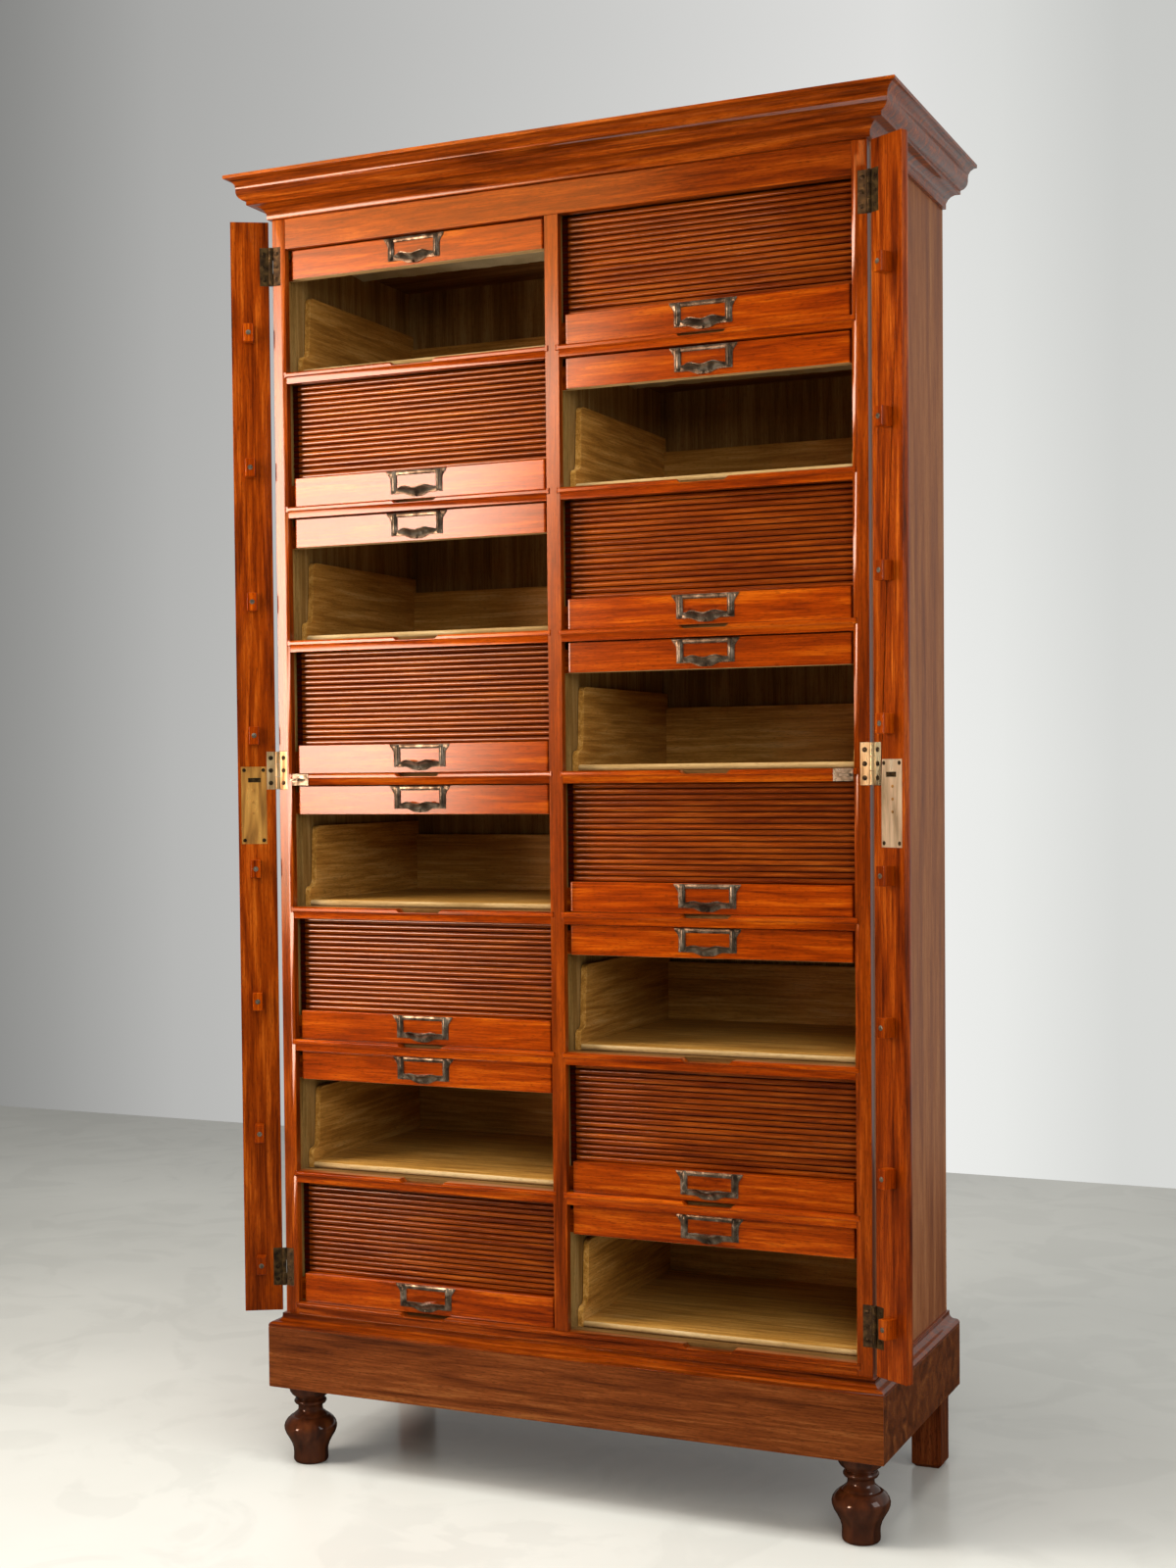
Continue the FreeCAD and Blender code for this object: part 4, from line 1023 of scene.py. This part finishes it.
def hinge_leaf(level, face, out, knuckles):
    """A leaf behind its face, its knuckles round the pin and three screws."""
    near, end = pin_x + knuckle_radius + 0.4, pin_x + leaf_width
    behind = face - out * leaf_thickness
    third = leaf_length / 3
    start = level - leaf_length / 2
    boards = [block(near, end, *sorted((face, behind)), start, start + leaf_length, "z")]
    for index in knuckles:
        z0, z1 = start + index * third + 0.15, start + (index + 1) * third - 0.15
        centre = (pin_x, front_plane + pin_depth)
        ease = [0.9, 1.0, 1.0, 0.9]
        rings = [z0, z0 + 0.4, z1 - 0.4, z1]
        boards.append(board(circle(knuckle_radius, 20, centre), "z", rings, "z", ease, centre))
        boards.append(block(pin_x, near, *sorted((face, behind)), z0, z1, "z"))
    plain = len(boards)
    for rise in (-screw_spread, 0.0, screw_spread):
        boards += screw((near + end) / 2, face, level + rise, 2.7, out)
    return boards, plain


def hinges(face, out, knuckles):
    """The leaves of one side, with metal painted pale for the middle one and dark screws."""
    boards, kinds = [], []
    for level, metal in zip(hinge_levels, (1, 0, 1)):
        leaf, plain = hinge_leaf(level, face, out, knuckles)
        boards += leaf
        kinds += [metal] * plain + [2] * (len(leaf) - plain)
    return boards, kinds


hinge_metals = [reflection_pale_brass, dull_brass, screw_metal]
boards, kinds = hinges(front_plane, -1.0, (0, 2))
both = boards + mirrored_boards(boards)
assemble("hinge_stile_leaves", both, hinge_metals, "carcass", "brass", ["hinge_leaves"], kinds=kinds * 2)
boards, kinds = hinges(front_plane + flap_face, 1.0, (1,))
for side in ("left", "right"):
    leaves, node = swung(boards, side), "flap_leaves_" + side
    assemble("hinge_" + node, leaves, hinge_metals, side + "_flap", "brass", [node], kinds=kinds)
print("hinge levels", np.round(hinge_levels, 1).tolist())

# %% [markdown]
# Each lock plate has a screw in every corner and three rivets that hold the works behind it, and
# each lug has one screw through it. The screw in a lug is pale steel, which paints the highlight it catches.

# %% Screws and rivets of the flaps
plate_low, plate_high = 841.75, 945.75
plate_left, plate_right = -397.5, -363.5
slot_centre = (-381.5, 927.75)
lug_tip = 16.0
lug_centre = -382.5
lug_rise = 51.8
keep_centre = (-369.0, 927.75)
keep_face = span("lock_keeps")[0][1] + 10.1

face = front_plane + flap_face
fixings, kinds = [], []
for x in (plate_left + 4.2, plate_right - 4.2):
    for z in (plate_low + 5.0, plate_high - 4.6):
        fixings += screw(x, face, z, 2.2, 1.0)
fixing_metals = [screw_metal, gold_and_reflection_brass, steel]
kinds += [0] * len(fixings)
for z in (plate_high - 32.0, plate_high - 47.0, plate_high - 62.0):
    centre = ((plate_left + plate_right) / 2 + 1.5, z)
    dome = [1.0, 0.85, 0.45]
    depths = [face - 0.4, face + 0.5, face + 0.8]
    fixings.append(board(circle(2.0, 12, centre), "y", depths, "z", dome, centre))
    kinds.append(1)
x, z = slot_centre
fixings.append(block(x - 8.4, x + 8.4, face - 1.1, face - 0.7, z - 2.9, z + 2.9, "z"))
kinds.append(0)
# Lug screws in pale steel, which paints their highlight.
for place in compartments[:8]:
    heads = screw(lug_centre, front_plane + lug_tip, place.floor + lug_rise, 2.9, 1.0)
    fixings += heads
    kinds += [2] * len(heads)
for side in ("left", "right"):
    turned_fixings = swung(fixings, side)
    assemble("flap_fixings_" + side, turned_fixings, fixing_metals, side + "_flap", "brass", kinds=kinds)
keep_screws = screw(keep_centre[0], keep_face, keep_centre[1], 2.4)
assemble("keep_screws", keep_screws + mirrored_boards(keep_screws), screw_metal, "carcass", "brass")
print("fixings on a flap", len(fixings))

# %% [markdown]
# ## Oak trays
# A tray has two sides whose fronts are sawn to a double curve, a floor with a rounded front edge
# and a lower back. The side outline is walked once, with arcs at the foot, the waist and the
# shoulder.

# %% Trays
tray_clearance = 1.0
tray_front = 28.0
tray_back = 338.0
tray_side = 8.0
tray_floor = 8.0
tray_height = 108.0
tray_back_height = 88.0
tray_foot = 18.0
tray_curve = 8.0
tray_lean = 4.0
tray_lift = 0.15


def tray_side_outline(floor):
    """The side in (y, z): front foot, ogee waist, round shoulder, then straight to the back."""
    y, r = front_plane + tray_front, tray_curve
    foot = arc((y + r, floor + tray_foot), r, 180, 90, 8)
    waist = arc((y + r, floor + tray_foot + 2 * r), r, 270, 360, 8)
    shoulder = arc((y + 4 * r - tray_lean, floor + tray_height - r), r, 180, 90, 8)
    ends = [(front_plane + tray_back, floor + tray_height), (front_plane + tray_back, floor)]
    return np.concatenate([[(y, floor)], foot, waist[1:], shoulder, ends])


def tray_boards(place):
    """The four boards of a tray: sides with the grain front to back, floor and back across."""
    x0, x1 = place.left + tray_clearance, place.right - tray_clearance
    y0, y1 = front_plane + tray_front, front_plane + tray_back
    z, r = place.floor + tray_lift, tray_floor / 2
    outline = tray_side_outline(z)
    behind = [(y1 - tray_side, z + tray_floor), (y1 - tray_side, z)]
    edge = np.concatenate([arc((y0 + r, z + r), r, 270, 90, 8), behind])
    return [
        board(outline, "x", [x0, x0 + tray_side], "y"),
        board(outline, "x", [x1 - tray_side, x1], "y"),
        board(edge, "x", [x0 + tray_side, x1 - tray_side], "x"),
        block(x0 + tray_side, x1 - tray_side, y1 - tray_side, y1, z, z + tray_back_height),
    ]


hidden_trays = []
for place in compartments:
    if place.raised:
        node, lip_top = "tray_" + place.tag, (place.floor + tray_floor) * MM
        piece = assemble("oak_" + node, tray_boards(place), [oak, bare_edge], node, "oak", [node], bevel=0.5)
        faces = piece.data.polygons
        paint(piece.data, [f.normal.y < -0.2 and f.center.z < lip_top and f.area > 0.0001 for f in faces])
    else:
        hidden_trays += tray_boards(place)
assemble("oak_trays_shut", hidden_trays, oak, "carcass", "oak", ["shut_trays"], bevel=0.5)
print("trays", sum(place.raised for place in compartments), "open and", len(hidden_trays) // 4, "shut")

# %% [markdown]
# ## Turned feet
# A foot is turned on a lathe, so it is one profile swept round an axis. Points of the profile are
# (radius, height) in mm, from the floor to the plinth.

# %% Feet
foot_profile = np.array([
    (19.5, 0.0), (22.0, 0.7), (23.2, 2.4), (23.6, 5.0), (23.2, 12.0), (23.6, 18.0),
    (25.6, 25.0), (29.2, 32.0), (33.4, 39.0), (35.4, 44.5), (35.8, 48.5), (34.6, 53.0),
    (31.6, 57.5), (27.4, 61.2), (24.6, 62.9), (23.8, 62.6), (23.2, 63.2), (22.6, 64.6),
    (20.4, 66.4), (17.8, 68.6), (16.6, 71.4), (16.4, 74.4), (17.0, 77.2), (18.2, 78.6),
    (20.6, 79.6), (21.8, 81.6), (21.8, 83.4), (20.4, 85.4), (18.8, 86.2), (19.0, 87.2),
    (21.4, 89.6), (25.2, 92.6), (27.6, 96.4), (28.5, 100.0), (28.5, 107.0),
])


def turned(profile, centre, around=64):
    """The profile swept round a vertical line: x and y are the radius times cosine and sine."""
    rings = np.empty((len(profile), around, 3))
    rings[..., :2] = np.array(centre) + profile[:, None, :1] * circle(1.0, around)[None]
    rings[..., 2] = profile[:, 1:]
    return skin(rings, "z")


low, high = span("front_feet")
foot_radius = foot_profile[:, 0].max()
foot_centres = [(x, (low[1] + high[1]) / 2) for x in (low[0] + foot_radius, high[0] - foot_radius)]
feet = [turned(foot_profile, centre) for centre in foot_centres]
assemble("turned_feet", feet, foot_polish, "carcass", "dark_mahogany", ["front_feet"], smooth=55.0)
print("feet at", np.round(foot_centres, 1).tolist())
